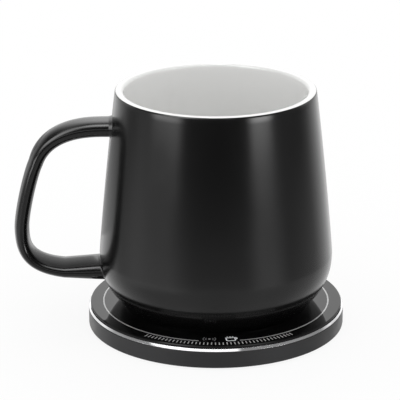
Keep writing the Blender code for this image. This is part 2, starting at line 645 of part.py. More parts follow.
def build_marks(black, clear, white):
    """The block with two wells at the front, and the lamp and light guide in each well."""
    middle = -MARK_CIRCLE_RADIUS
    shield_size = (SHIELD_WIDTH, SHIELD_LENGTH, UNDER_GLASS - ON_BOARD)
    shield = block("light_shield", shield_size, ON_BOARD, black, place=(0, middle))
    guide_bottom = ON_BOARD + LAMP_SIZE[2] + SEAT_GAP
    for name, side in (("standby", -1), ("heating", 1)):
        place = (side * MARK_SPACING / 2, middle)
        cut(shield, block(
            f"{name}_well", (WELL_WIDTH, WELL_LENGTH, UNDER_GLASS - ON_BOARD + 2 * OVERRUN),
            ON_BOARD - OVERRUN, black, place=place,
        ))
        block(f"{name}_lamp", LAMP_SIZE, ON_BOARD, white, place=place, bevel=PIECE_BEVEL)
        block(
            f"{name}_light_guide",
            (WELL_WIDTH - 2 * SEAT_GAP, WELL_LENGTH - 2 * SEAT_GAP, UNDER_GLASS - guide_bottom),
            guide_bottom, clear, place=place, bevel=PIECE_BEVEL,
        )


def build_board_pieces(black, ferrite, ceramic):
    """The chips, transistors, inductor and capacitors on the control board."""
    block("controller_chip", CHIP_SIZE, ON_BOARD, black, place=CHIP_PLACE, bevel=PIECE_BEVEL)
    block("input_chip", INPUT_CHIP_SIZE, ON_BOARD, black, place=INPUT_CHIP_PLACE, bevel=PIECE_BEVEL)
    for number, place in enumerate(TRANSISTOR_PLACES, 1):
        block(f"power_transistor_{number}", TRANSISTOR_SIZE, ON_BOARD, black, place=place, bevel=PIECE_BEVEL)
    tall_pieces = [("filter_inductor", INDUCTOR_SIZE, INDUCTOR_ANGLE, ferrite)]
    for number, angle in enumerate(CAPACITOR_ANGLES, 1):
        tall_pieces.append((f"tuning_capacitor_{number}", CAPACITOR_SIZE, angle, ceramic))
    for name, size, angle, material in tall_pieces:
        place = (TALL_CIRCLE_RADIUS * math.cos(angle), TALL_CIRCLE_RADIUS * math.sin(angle))
        block(name, size, ON_BOARD, material, place=place, angle=angle, bevel=PIECE_BEVEL)


def build_coil_stack(plastic, ferrite, copper, mica, black):
    """From the board up: tray, ferrite plate, coil, insulating sheet and the sensor at its middle."""
    rim_top = TRAY_TOP + TRAY_RIM_HEIGHT
    tray = turned("coil_tray", [
        (0, TRAY_BOTTOM),
        (TRAY_RADIUS, TRAY_BOTTOM),
        (TRAY_RADIUS, rim_top),
        (TRAY_RADIUS - TRAY_RIM_WIDTH, rim_top),
        (TRAY_RADIUS - TRAY_RIM_WIDTH, TRAY_TOP),
        (0, TRAY_TOP),
    ], plastic, steps=HIDDEN_STEPS)
    leg_top = TRAY_BOTTOM + TRAY_THICKNESS / 2
    for number, (place, _) in enumerate(around(TRAY_LEG_COUNT, TRAY_LEG_CIRCLE_RADIUS), 1):
        join(tray, post(f"tray_leg_{number}", place, TRAY_LEG_RADIUS, ON_BOARD, leg_top, plastic))
    turned(
        "ferrite_plate", disc_outline(FERRITE_RADIUS, FERRITE_BOTTOM, FERRITE_TOP), ferrite,
        steps=HIDDEN_STEPS,
    )
    spiral_coil("power_coil", COIL_INNER_RADIUS, COIL_TURNS, WIRE_DIAMETER, COIL_BOTTOM, copper)
    sheet_outline = ring_outline(SHEET_HOLE_RADIUS, TRAY_RADIUS, SHEET_BOTTOM, SHEET_BOTTOM + SHEET_THICKNESS)
    turned("insulating_sheet", sheet_outline, mica, steps=HIDDEN_STEPS)
    sensor_outline = disc_outline(SENSOR_RADIUS, COIL_BOTTOM, UNDER_GLASS, PIECE_BEVEL)
    turned("temperature_sensor", sensor_outline, black, steps=SMALL_STEPS)


def build_warmer(finishes):
    """Every piece of the pad."""
    pad_outline = disc_outline(PAD_RADIUS, 0, PAD_THICKNESS, PAD_BEVEL)
    turned("anti_slip_pad", pad_outline, finishes["silicone"])
    build_cover(finishes["satin black plastic"], finishes["steel"])
    build_housing(finishes["satin black plastic"])
    build_top(finishes["silver"], finishes["tape"], finishes["black glass"])
    build_board(finishes["board"], finishes["steel"], finishes["black plastic"])
    build_marks(finishes["black plastic"], finishes["clear plastic"], finishes["lamp white"])
    build_board_pieces(finishes["black plastic"], finishes["ferrite"], finishes["capacitor brown"])
    build_coil_stack(
        finishes["grey plastic"], finishes["ferrite"], finishes["copper"], finishes["mica"],
        finishes["black plastic"],
    )


# Mug


def mug_side():
    """The ceramic's outer side as two runs of (radius, height): foot to belly, and belly to lip."""
    belly = (BELLY_RADIUS, BELLY_HEIGHT)
    side_top = (RIM_RADIUS, MUG_HEIGHT - LIP_OUTER_RADIUS)
    heel = bezier_between((FOOT_RADIUS, FOOT_BEVEL), belly, HEEL_HANDLE_SHARES, HEEL_STEPS)
    side = bezier_between(belly, side_top, SIDE_HANDLE_SHARES, SIDE_STEPS)
    return heel, side


def mug_radius(height):
    """The radius of the ceramic's outer side at a height above the foot."""
    heel, side = mug_side()
    points = heel + side[1:]
    for (radius, low), (next_radius, high) in zip(points, points[1:]):
        if low <= height <= high:
            return radius + (next_radius - radius) * (height - low) / (high - low)
    return RIM_RADIUS


def mug_outline():
    """The ceramic's section, from the middle of its underside over the rim to the middle of its floor."""
    heel, side = mug_side()
    inside = [(radius - MUG_WALL, height) for radius, height in reversed(side[:-1])]
    quarter = math.pi / 2
    outer_edge = (RIM_RADIUS - LIP_OUTER_RADIUS, MUG_HEIGHT - LIP_OUTER_RADIUS)
    inner_edge = (RIM_RADIUS - MUG_WALL + LIP_INNER_RADIUS, MUG_HEIGHT - LIP_INNER_RADIUS)
    lip = arc(outer_edge, LIP_OUTER_RADIUS, 0, quarter, LIP_STEPS)
    lip += arc(inner_edge, LIP_INNER_RADIUS, quarter, 2 * quarter, LIP_STEPS)
    inside_heel = bezier_between(
        inside[-1], (INSIDE_FLOOR_RADIUS, INSIDE_FLOOR), INSIDE_HEEL_HANDLE_SHARES, INSIDE_HEEL_STEPS,
    )
    underside = [
        (0, HEATER_SPACE_TOP),
        (HEATER_SPACE_RADIUS, HEATER_SPACE_TOP),
        (HEATER_SPACE_RADIUS, CAP_SEAT_TOP),
        (CAP_SEAT_RADIUS, CAP_SEAT_TOP),
        (CAP_SEAT_RADIUS, FOOT_BEVEL),
        (CAP_SEAT_RADIUS + FOOT_BEVEL, 0),
        (FOOT_RADIUS - FOOT_BEVEL, 0),
    ]
    return underside + heel + side[1:-1] + lip + inside + inside_heel[1:] + [(0, INSIDE_FLOOR)]


def handle_path():
    """The handle's centre line from the upper root to the lower one, as (place, thickness, width)."""
    rise = HANDLE_TOP - HANDLE_BOTTOM
    root_depth = HANDLE_ROOT_WALL_SHARE * MUG_WALL
    upper_bar = (UPPER_BAR_THICKNESS, HANDLE_WIDTH)
    grip = (GRIP_THICKNESS, HANDLE_WIDTH)
    lower_bar = (LOWER_BAR_THICKNESS, LOWER_BAR_WIDTH)
    stretches = (
        (UPPER_BEND_SHARES, HANDLE_CORNER_STEPS, upper_bar, grip),
        (GRIP_SHARES, HANDLE_GRIP_STEPS, grip, grip),
        (LOWER_BEND_SHARES, HANDLE_CORNER_STEPS, grip, lower_bar),
    )
    path = [(Vector((root_depth - mug_radius(HANDLE_TOP), 0, HANDLE_TOP)), *upper_bar)]
    for number, (shares, steps, first, last) in enumerate(stretches):
        corners = [(-reach * HANDLE_REACH, HANDLE_BOTTOM + height * rise) for reach, height in shares]
        for step, (x, height) in enumerate(bezier(corners, steps)):
            if step or number == 0:
                size = Vector(first).lerp(Vector(last), step / steps)
                path.append((Vector((x, 0, height)), *size))
    lower_root = Vector((root_depth - mug_radius(HANDLE_BOTTOM), 0, HANDLE_BOTTOM))
    path.append((lower_root, LOWER_ROOT_THICKNESS, LOWER_ROOT_WIDTH))
    return path


def handle_section(thickness, width):
    """The handle's section, an oval a little fuller than an ellipse, as (along Y, across the bar)."""
    power = 2 / HANDLE_FULLNESS
    section = []
    for step in range(HANDLE_SECTION_STEPS):
        angle = 2 * math.pi * step / HANDLE_SECTION_STEPS
        along, across = (math.copysign(abs(part) ** power, part) for part in (math.cos(angle), math.sin(angle)))
        section.append((along * width / 2, across * thickness / 2))
    return section


def build_handle(material, parent):
    """Sweep the handle's section along its centre line."""
    path = handle_path()
    mesh = bmesh.new()
    rings = []
    for index, (place, thickness, width) in enumerate(path):
        before = path[max(index - 1, 0)][0]
        after = path[min(index + 1, len(path) - 1)][0]
        outward = (after - before).cross(Vector((0, 1, 0))).normalized()
        rings.append([
            mesh.verts.new(place + Vector((0, along, 0)) + outward * across)
            for along, across in handle_section(thickness, width)
        ])
    for ring, next_ring in zip(rings, rings[1:]):
        for index in range(len(ring)):
            following = (index + 1) % len(ring)
            mesh.faces.new((ring[index], ring[following], next_ring[following], next_ring[index]))
    mesh.faces.new(rings[0])
    mesh.faces.new(rings[-1])
    return new_object("handle_bar", mesh, material, parent)


def build_heater(finishes, lift):
    """The receiver and the heater in the mug's foot, from the base cap up."""
    cap_edge = CAP_RADIUS - CAP_BEVEL
    dish_radius = CAP_RADIUS - CAP_DISH_INSET
    turned("base_cap", [
        (0, CAP_RECESS + CAP_DISH_DEPTH),
        (dish_radius, CAP_RECESS + CAP_DISH_DEPTH),
        (dish_radius + CAP_DISH_DEPTH, CAP_RECESS),
        (cap_edge, CAP_RECESS),
        (CAP_RADIUS, CAP_RECESS + CAP_BEVEL),
        (CAP_RADIUS, CAP_TOP),
        (0, CAP_TOP),
    ], finishes["black plastic"], lift, steps=ROUND_STEPS)
    gasket_outline = ring_outline(
        CAP_RADIUS - GASKET_WIDTH, CAP_RADIUS, GASKET_BOTTOM, GASKET_BOTTOM + GASKET_THICKNESS,
    )
    turned("base_gasket", gasket_outline, finishes["silicone"], lift, steps=HIDDEN_STEPS)
    spiral_coil(
        "receiver_coil", RECEIVER_COIL_INNER_RADIUS, RECEIVER_COIL_TURNS, RECEIVER_WIRE_DIAMETER,
        RECEIVER_COIL_BOTTOM, finishes["copper"], lift,
    )
    discs = (
        ("receiver_ferrite", RECEIVER_BOARD_RADIUS, RECEIVER_FERRITE_BOTTOM, RECEIVER_FERRITE_TOP, "ferrite"),
        ("receiver_board", RECEIVER_BOARD_RADIUS, RECEIVER_BOARD_BOTTOM, RECEIVER_BOARD_TOP, "board"),
        ("heating_film", FILM_RADIUS, FILM_BOTTOM, FILM_BOTTOM + FILM_THICKNESS, "mica"),
    )
    for name, radius, bottom, top, finish_name in discs:
        turned(name, disc_outline(radius, bottom, top), finishes[finish_name], lift, steps=HIDDEN_STEPS)
    insulation_outline = ring_outline(
        INSULATION_HOLE_RADIUS, INSULATION_RADIUS, INSULATION_TOP - INSULATION_THICKNESS, INSULATION_TOP,
    )
    turned("heat_insulation", insulation_outline, finishes["felt white"], lift, steps=HIDDEN_STEPS)
    on_board = RECEIVER_BOARD_TOP + SEAT_GAP
    block(
        "rectifier_chip", RECTIFIER_SIZE, on_board, finishes["black plastic"],
        place=RECTIFIER_PLACE, bevel=PIECE_BEVEL, parent=lift,
    )
    sensor_outline = disc_outline(MUG_SENSOR_RADIUS, on_board, INSULATION_TOP, PIECE_BEVEL)
    turned("mug_sensor", sensor_outline, finishes["black plastic"], lift, steps=SMALL_STEPS)


def build_mug(finishes):
    """Every piece of the mug, hung from an empty on the axis along which it lifts off."""
    lift = bpy.data.objects.new("mug_lift", None)
    bpy.context.scene.collection.objects.link(lift)
    lift.location.z = MUG_BASE
    body = turned("mug_body", mug_outline(), finishes["black glaze"], lift)
    join(body, build_handle(finishes["black glaze"], lift))
    build_heater(finishes, lift)


def make_finishes():
    """The finishes of all pieces, by name."""
    table = (
        ("satin black plastic", (0.022, 0.022, 0.023), 0.42, 0.0),
        ("black plastic", (0.015, 0.015, 0.016), 0.5, 0.0),
        ("grey plastic", (0.25, 0.25, 0.26), 0.5, 0.0),
        ("clear plastic", (0.85, 0.87, 0.88), 0.15, 0.0),
        ("black glass", (0.004, 0.004, 0.004), 0.03, 0.0),
        ("silver", (0.86, 0.86, 0.87), 0.12, 1.0),
        ("steel", (0.6, 0.6, 0.61), 0.3, 1.0),
        ("silicone", (0.03, 0.03, 0.031), 0.8, 0.0),
        ("tape", (0.05, 0.05, 0.05), 0.7, 0.0),
        ("board", (0.01, 0.09, 0.04), 0.45, 0.0),
        ("ferrite", (0.06, 0.06, 0.065), 0.6, 0.0),
        ("copper", (0.72, 0.34, 0.16), 0.35, 1.0),
        ("mica", (0.55, 0.42, 0.25), 0.5, 0.0),
        ("felt white", (0.75, 0.74, 0.7), 0.95, 0.0),
        ("capacitor brown", (0.35, 0.2, 0.1), 0.5, 0.0),
        ("lamp white", (0.9, 0.9, 0.82), 0.4, 0.0),
        ("black glaze", (0.006, 0.006, 0.006), 0.32, 0.0),
    )
    return {name: finish(name, colour, roughness, metallic) for name, colour, roughness, metallic in table}


def main():
    """Clear the scene and build the warmer and its mug."""
    for old in list(bpy.data.objects):
        bpy.data.objects.remove(old)
    finishes = make_finishes()
    build_warmer(finishes)
    build_mug(finishes)


main()
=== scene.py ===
"""Looks of the mug warmer and its mug: finishes, fine meshes, printed marks, studio and camera.

Lengths are in metres in the part's own frame: +Z up, the marks on the glass at -Y, the power socket at
+Y and the mug's handle at -X. Pieces ride on the body "warmer" or on the body "mug".
"""

import logging
import math
from collections.abc import Iterable, Mapping, Sequence
from dataclasses import dataclass, field, fields, replace
from enum import Enum

import bpy
from mathutils import Matrix, Vector
from mathutils.geometry import interpolate_bezier


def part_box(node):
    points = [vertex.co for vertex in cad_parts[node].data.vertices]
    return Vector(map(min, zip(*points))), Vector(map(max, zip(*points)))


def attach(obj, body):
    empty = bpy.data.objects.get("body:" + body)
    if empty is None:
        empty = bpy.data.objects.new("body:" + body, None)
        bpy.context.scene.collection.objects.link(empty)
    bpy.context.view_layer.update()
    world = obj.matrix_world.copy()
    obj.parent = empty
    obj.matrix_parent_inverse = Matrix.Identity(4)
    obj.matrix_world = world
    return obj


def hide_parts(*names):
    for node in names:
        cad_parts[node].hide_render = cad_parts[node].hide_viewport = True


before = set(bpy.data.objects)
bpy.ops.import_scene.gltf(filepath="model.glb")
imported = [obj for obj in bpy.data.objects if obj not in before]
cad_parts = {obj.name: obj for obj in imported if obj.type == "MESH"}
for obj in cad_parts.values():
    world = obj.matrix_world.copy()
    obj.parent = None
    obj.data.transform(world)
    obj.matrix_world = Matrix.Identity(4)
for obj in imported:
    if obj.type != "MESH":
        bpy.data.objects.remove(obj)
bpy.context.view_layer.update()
log = logging.getLogger("mug_warmer")

MM = 0.001
WELD = 0.0005 * MM
ROUND_STEPS = 192
SMALL_ROUND_STEPS = 32
EDGE_STEPS = 3
SMOOTH_ANGLE = math.radians(28)
FLAT_WEIGHT = 100
STRETCH_CORNERS = 3
HANDLE_WIDTH = 14.6 * MM
WHITE = (1.0, 1.0, 1.0, 1.0)

Point = tuple[float, float]
Corner = tuple[float, float, float]
Colour = tuple[float, float, float]
Piece = bpy.types.Object
Socket = bpy.types.NodeSocket
Materials = dict[str, bpy.types.Material]


class Body(Enum):
    """The two bodies that pieces ride on."""

    WARMER = "warmer"
    MUG = "mug"


class Slot(Enum):
    """Names of the record's material slots."""

    SATIN_PLASTIC = "satin_black_plastic"
    BLACK_PLASTIC = "black_plastic"
    GLASS = "black_glass"
    SILVER = "silver"
    STEEL = "steel"
    SILICONE = "silicone"
    COPPER = "copper"
    GLAZE = "glazed_ceramic"
    LAMP = "lamp"


@dataclass(frozen=True)
class Span:
    """Radius, bottom and top of a round CAD node."""

    radius: float
    bottom: float
    top: float

    @property
    def height(self) -> float:
        """Height of the node."""
        return self.top - self.bottom


def span(node: str) -> Span:
    """Measure a round CAD node.

    Args:
        node: Name of the node.

    Returns:
        Its radius along +X and its lowest and highest point.
    """
    low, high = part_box(node)
    return Span(high.x, low.z, high.z)


def numbered(name: str, count: int) -> tuple[str, ...]:
    """Names of CAD nodes that repeat.

    Args:
        name: Their name without its number.
        count: How many there are.

    Returns:
        The names, numbered from 1.
    """
    return tuple(f"{name}_{number}" for number in range(1, count + 1))


# Outlines


def polar(radius: float, angle: float) -> Point:
    """A point given by its distance from the axis and its angle about it.

    Args:
        radius: The distance.
        angle: The angle, in radians.

    Returns:
        The point.
    """
    return radius * math.cos(angle), radius * math.sin(angle)


def arc(middle: Point, radius: float, start: float, end: float, steps: int) -> list[Point]:
    """Points along an arc.

    Args:
        middle: Middle of the arc.
        radius: Radius of the arc.
        start: First angle, in radians.
        end: Last angle, in radians.
        steps: Number of chords.

    Returns:
        The points, both ends included.
    """
    angles = [start + (end - start) * step / steps for step in range(steps + 1)]
    return [(middle[0] + radius * math.cos(a), middle[1] + radius * math.sin(a)) for a in angles]


def rounded(corners: Sequence[Corner], closed: bool = True, steps: int = EDGE_STEPS) -> list[Point]:
    """Round the corners of an outline.

    Args:
        corners: Corners as (across, up, radius of the rounding).
        closed: Whether the outline's last corner is joined to its first.
        steps: Number of chords of each rounding.

    Returns:
        The outline's points.
    """
    points: list[Point] = []
    for index, (across, up, radius) in enumerate(corners):
        at_end = not closed and index in (0, len(corners) - 1)
        if not radius or at_end:
            points.append((across, up))
            continue
        here = Vector((across, up))
        before = (Vector(corners[index - 1][:2]) - here).normalized()
        after = (Vector(corners[(index + 1) % len(corners)][:2]) - here).normalized()
        half = before.angle(after) / 2
        middle = here + (before + after).normalized() * radius / math.sin(half)
        first = (here + before * radius / math.tan(half) - middle).normalized()
        last = (here + after * radius / math.tan(half) - middle).normalized()
        for step in range(steps + 1):
            spoke = first.slerp(last, step / steps) * radius
            points.append((middle.x + spoke.x, middle.y + spoke.y))
    return points


def stadium(half_flat: float, radius: float, steps: int = SMALL_ROUND_STEPS // 2) -> list[Point]:
    """Outline of a slot with two half-round ends.

    Args:
        half_flat: Half the length of its flat sides.
        radius: Radius of its ends.
        steps: Number of chords of each end.

    Returns:
        The outline's points.
    """
    quarter = math.pi / 2
    return arc((half_flat, 0), radius, -quarter, quarter, steps) + arc(
        (-half_flat, 0), radius, quarter, 3 * quarter, steps
    )


def curve_points(start: Point, handles: Sequence[Point], end: Point, steps: int) -> list[Point]:
    """Points along a Bezier curve, both ends included.

    Args:
        start: First point.
        handles: Its two handle points.
        end: Last point.
        steps: Number of chords.

    Returns:
        The points.
    """
    corners = [Vector((*point, 0)) for point in (start, *handles, end)]
    return [(point.x, point.y) for point in interpolate_bezier(*corners, steps + 1)]


def shared_handles(start: Point, end: Point, shares: Sequence[Point]) -> list[Point]:
    """Handle points given as shares of the way from one point to another.

    Args:
        start: First point.
        end: Last point.
        shares: One pair of shares for each handle.

    Returns:
        The handle points.
    """
    return [
        (start[0] + across * (end[0] - start[0]), start[1] + up * (end[1] - start[1]))
        for across, up in shares
    ]


# Modelling


def deselect() -> None:
    """Leave edit mode and deselect everything."""
    if bpy.context.object and bpy.context.object.mode != "OBJECT":
        bpy.ops.object.mode_set(mode="OBJECT")
    bpy.ops.object.select_all(action="DESELECT")


def pick(piece: Piece) -> None:
    """Make a piece the only selected and active one.

    Args:
        piece: The piece.
    """
    deselect()
    piece.select_set(True)
    bpy.context.view_layer.objects.active = piece


def wire(name: str, points: Sequence[Vector]) -> Piece:
    """Draw a line of vertices, as by extruding one vertex after another.

    Args:
        name: Name of the new piece.
        points: Places of the vertices.

    Returns:
        The piece, in edit mode.
    """
    deselect()
    bpy.ops.mesh.primitive_plane_add(size=MM, location=(0, 0, 0))
    piece = bpy.context.object
    piece.name = name
    bpy.ops.object.mode_set(mode="EDIT")
    bpy.ops.mesh.select_all(action="SELECT")
    bpy.ops.mesh.merge(type="CENTER")
    bpy.ops.transform.translate(value=points[0])
    for point, following in zip(points, points[1:]):
        bpy.ops.mesh.extrude_vertices_move(TRANSFORM_OT_translate={"value": following - point})
    bpy.ops.mesh.select_all(action="SELECT")
    return piece


def turned(name: str, outline: Sequence[Point], steps: int = ROUND_STEPS, closed: bool = False) -> Piece:
    """Turn an outline about Z, as on a lathe.

    Args:
        name: Name of the new piece.
        outline: Points as (radius, height).
        steps: Number of facets round the piece.
        closed: Whether the outline is a ring that returns to its first point.

    Returns:
        The piece, in object mode.
    """
    order = [*outline, outline[0]] if closed else list(outline)
    piece = wire(name, [Vector((radius, 0, height)) for radius, height in order])
    bpy.ops.mesh.spin(steps=steps, angle=2 * math.pi, center=(0, 0, 0), axis=(0, 0, 1))
    bpy.ops.mesh.select_all(action="SELECT")
    bpy.ops.mesh.remove_doubles(threshold=WELD)
    bpy.ops.mesh.normals_make_consistent(inside=False)
    bpy.ops.object.mode_set(mode="OBJECT")
    return piece


def extruded(name: str, points: Sequence[Vector], reach: Vector) -> Piece:
    """Fill a flat outline and extrude it.

    Args:
        name: Name of the new piece.
        points: The outline's corners.
        reach: How far and which way it is extruded.

    Returns:
        The piece, in edit mode with its far face selected.
    """
    piece = wire(name, points)
    bpy.ops.mesh.edge_face_add()
    bpy.ops.mesh.extrude_region_move(TRANSFORM_OT_translate={"value": reach})
    return piece


def face_outwards() -> None:
    """End edit mode with every face of the edited piece pointing outwards."""
    bpy.ops.mesh.select_all(action="SELECT")
    bpy.ops.mesh.normals_make_consistent(inside=False)
    bpy.ops.object.mode_set(mode="OBJECT")


def apply_modifier(piece: Piece, kind: str, **values: object) -> None:
    """Add a modifier with the given values and apply it.

    Args:
        piece: The piece to change.
        kind: Type of the modifier.
        **values: Settings of the modifier.
    """
    pick(piece)
    modifier = piece.modifiers.new(kind.title(), kind)
    for setting, value in values.items():
        setattr(modifier, setting, value)
    bpy.ops.object.modifier_apply(modifier=modifier.name)


def combine(piece: Piece, other: Piece, operation: str) -> None:
    """Join a shape to a piece, or cut it out, and remove the shape.

    Args:
        piece: The piece that stays.
        other: The shape that is used up.
        operation: "UNION" or "DIFFERENCE".
    """
    apply_modifier(piece, "BOOLEAN", operation=operation, object=other, solver="EXACT")
    bpy.data.objects.remove(other)


def soften_edges(piece: Piece, width: float, segments: int = 2) -> None:
    """Round every sharp edge of a piece.

    Args:
        piece: The piece to change.
        width: Width of the rounding.
        segments: Number of facets of the rounding.
    """
    apply_modifier(piece, "BEVEL", width=width, segments=segments, limit_method="ANGLE")


def smooth(piece: Piece, angle: float = SMOOTH_ANGLE) -> None:
    """Shade a piece smooth between its sharp edges.

    Args:
        piece: The piece to shade.
        angle: Edges that turn more than this stay sharp.
    """
    pick(piece)
    bpy.ops.object.shade_smooth_by_angle(angle=angle)


def keep_flats(piece: Piece) -> None:
    """Shade broad faces flat up to the narrow roundings beside them.

    Args:
        piece: The piece, already shaded smooth.
    """
    apply_modifier(piece, "WEIGHTED_NORMAL", keep_sharp=True, weight=FLAT_WEIGHT)


def bar(name: str, size: Vector, middle: Vector, turn: float = 0.0) -> Piece:
    """A box of the given size.

    Args:
        name: Name of the new piece.
        size: Its size along X, Y and Z before it is turned.
        middle: Its middle.
        turn: Angle about Z, in radians.

    Returns:
        The piece, in object mode.
    """
    deselect()
    bpy.ops.mesh.primitive_cube_add(size=1, location=middle, rotation=(0, 0, turn))
    piece = bpy.context.object
    piece.name = name
    piece.scale = size
    bpy.ops.object.transform_apply(location=True, rotation=True, scale=True)
    return piece


def post(name: str, place: Point, radius: float, bottom: float, top: float) -> Piece:
    """An upright cylinder.

    Args:
        name: Name of the new piece.
        place: Its place along X and Y.
        radius: Its radius.
        bottom: Height of its lower end.
        top: Height of its upper end.

    Returns:
        The piece, in object mode.
    """
    deselect()
    bpy.ops.mesh.primitive_cylinder_add(
        vertices=SMALL_ROUND_STEPS, radius=radius, depth=top - bottom,
        location=(*place, (bottom + top) / 2),
    )
    piece = bpy.context.object
    piece.name = name
    bpy.ops.object.transform_apply(location=True, rotation=True, scale=True)
    return piece


def hand_over(
    piece: Piece, body: Body, slot: Slot, materials: Iterable[bpy.types.Material], *nodes: str
) -> Piece:
    """Dress a finished piece, attach it to the body that it rides on and hide the CAD nodes that it stands
    for.

    Args:
        piece: The finished piece.
        body: The body it rides on.
        slot: The record's slot of its finish; not used.
        materials: Its materials, in the order of its material slots.
        *nodes: CAD nodes that it stands for.

    Returns:
        The same piece.
    """
    for material in materials:
        if material.name not in piece.data.materials:
            piece.data.materials.append(material)
    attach(piece, body.value)
    if nodes:
        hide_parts(*nodes)
    log.info("%s: %d faces on %s", piece.name, len(piece.data.polygons), body.value)
    return piece


# Nodes


def feed(node: bpy.types.Node, inputs: Mapping[str | int, object]) -> None:
    """Link or set a node's inputs.

    Args:
        node: The node.
        inputs: The socket that each input is linked to, or else its value, by its name or number.
    """
    for label, source in inputs.items():
        if isinstance(source, Socket):
            node.id_data.links.new(source, node.inputs[label])
        else:
            node.inputs[label].default_value = source


def new_node(
    tree: bpy.types.NodeTree, kind: str, inputs: Mapping[str | int, object] | None = None,
    **settings: object,
) -> bpy.types.Node:
    """Add a shader node.

    Args:
        tree: The node tree.
        kind: Type of the node, without the word ShaderNode.
        inputs: What its inputs are linked or set to.
        **settings: Its settings.

    Returns:
        The node.
    """
    node = tree.nodes.new(f"ShaderNode{kind}")
    for setting, value in settings.items():
        setattr(node, setting, value)
    feed(node, inputs or {})
    return node


def calculate(tree: bpy.types.NodeTree, operation: str, *operands: Socket | float) -> Socket:
    """Add a Math node.

    Args:
        tree: The node tree.
        operation: The node's operation.
        *operands: What its inputs are linked or set to, in their order.

    Returns:
        The node's output.
    """
    return new_node(tree, "Math", dict(enumerate(operands)), operation=operation).outputs[0]


@dataclass
class Effects:
    """Node groups that several finishes use."""

    coarse_fineness_share: float = 0.18
    grain_detail: float = 3.0
    patch_detail: float = 4.0
    patch_distortion: float = 0.6
    patch_low: float = 0.35
    patch_high: float = 0.68

    def __post_init__(self) -> None:
        """Build each group once."""
        self.grain = self.build_grain()
        self.handling = self.build_handling()

    @staticmethod
    def new_group(
        name: str, inputs: Sequence[str], output: str
    ) -> tuple[bpy.types.NodeTree, bpy.types.Node, bpy.types.Node]:
        """Start a group with float inputs and one float output.

        Args:
            name: Name of the group.
            inputs: Names of its inputs.
            output: Name of its output.

        Returns:
            The group, its input node and its output node.
        """
        group = bpy.data.node_groups.new(name, "ShaderNodeTree")
        for label in inputs:
            group.interface.new_socket(label, in_out="INPUT", socket_type="NodeSocketFloat")
        group.interface.new_socket(output, in_out="OUTPUT", socket_type="NodeSocketFloat")
        return group, group.nodes.new("NodeGroupInput"), group.nodes.new("NodeGroupOutput")

    def build_grain(self) -> bpy.types.NodeTree:
        """Fine grain of a moulded, glazed or cast surface, as a height from 0 to 1.

        Returns:
            The group, with the inputs Fineness and Coarse Share.
        """
        group, given, result = self.new_group("Fine Grain", ("Fineness", "Coarse Share"), "Height")
        place = new_node(group, "TexCoord")
        fineness = given.outputs["Fineness"]
        fine, coarse = (
            new_node(group, "TexNoise", {
                "Vector": place.outputs["Object"], "Scale": scale, "Detail": self.grain_detail,
            })
            for scale in (fineness, calculate(group, "MULTIPLY", fineness, self.coarse_fineness_share))
        )
        blend = new_node(group, "Mix", {
            "Factor": given.outputs["Coarse Share"], "A": fine.outputs[0], "B": coarse.outputs[0],
        })
        feed(result, {"Height": blend.outputs["Result"]})
        return group

    def build_handling(self) -> bpy.types.NodeTree:
        """Uneven gloss from making and handling, as a roughness.

        Returns:
            The group, with the inputs Patch Fineness, Smoothest and Roughest.
        """
        group, given, result = self.new_group(
            "Handling", ("Patch Fineness", "Smoothest", "Roughest"), "Roughness"
        )
        place = new_node(group, "TexCoord")
        patches = new_node(group, "TexNoise", {
            "Vector": place.outputs["Object"], "Scale": given.outputs["Patch Fineness"],
            "Detail": self.patch_detail, "Distortion": self.patch_distortion,
        })
        spread = new_node(group, "MapRange", {
            "Value": patches.outputs[0], "From Min": self.patch_low, "From Max": self.patch_high,
            "To Min": given.outputs["Smoothest"], "To Max": given.outputs["Roughest"],
        })
        feed(result, {"Roughness": spread.outputs["Result"]})
        return group


# Finishes


@dataclass(frozen=True)
class Finish:
    """A finish: its colour, its smoothest and roughest gloss, and its fine surface."""

    name: str
    colour: Colour
    roughness: tuple[float, float]
    metallic: float = 0.0
    colour_spread: float = 0.06
    patch_fineness: float = 60.0
    grain_fineness: float = 1500.0
    grain_depth: float = 0.01 * MM
    coarse_share: float = 0.4
    ior: float = 1.5
    coat: float = 0.0
    coat_roughness: float = 0.05
    glow: float = 0.0
    see_through: float = 0.0

    def material(self, effects: Effects) -> bpy.types.Material:
        """Build the material.

        Args:
            effects: The shared node groups.

        Returns:
            The material.
        """
        material = bpy.data.materials.new(self.name)
        material.use_nodes = True
        tree = material.node_tree
        handling = new_node(tree, "Group", {
            "Patch Fineness": self.patch_fineness, "Smoothest": self.roughness[0],
            "Roughest": self.roughness[1],
        }, node_tree=effects.handling)
        grain = new_node(tree, "Group", {
            "Fineness": self.grain_fineness, "Coarse Share": self.coarse_share,
        }, node_tree=effects.grain)
        height = grain.outputs["Height"]
        bump = new_node(tree, "Bump", {"Height": height, "Distance": self.grain_depth})
        darker, lighter = (
            (*(min(1.0, part * (1 + change)) for part in self.colour), 1.0)
            for change in (-self.colour_spread, self.colour_spread)
        )
        shade = new_node(tree, "Mix", {"Factor": height, "A": darker, "B": lighter}, data_type="RGBA")
        shader = tree.nodes["Principled BSDF"]
        feed(shader, {
            "Base Color": shade.outputs["Result"], "Roughness": handling.outputs["Roughness"],
            "Normal": bump.outputs["Normal"], "Metallic": self.metallic, "IOR": self.ior,
            "Coat Weight": self.coat, "Coat Roughness": self.coat_roughness,
            "Transmission Weight": self.see_through,
        })
        if self.glow:
            feed(shader, {"Emission Color": (*self.colour, 1.0), "Emission Strength": self.glow})
        return material


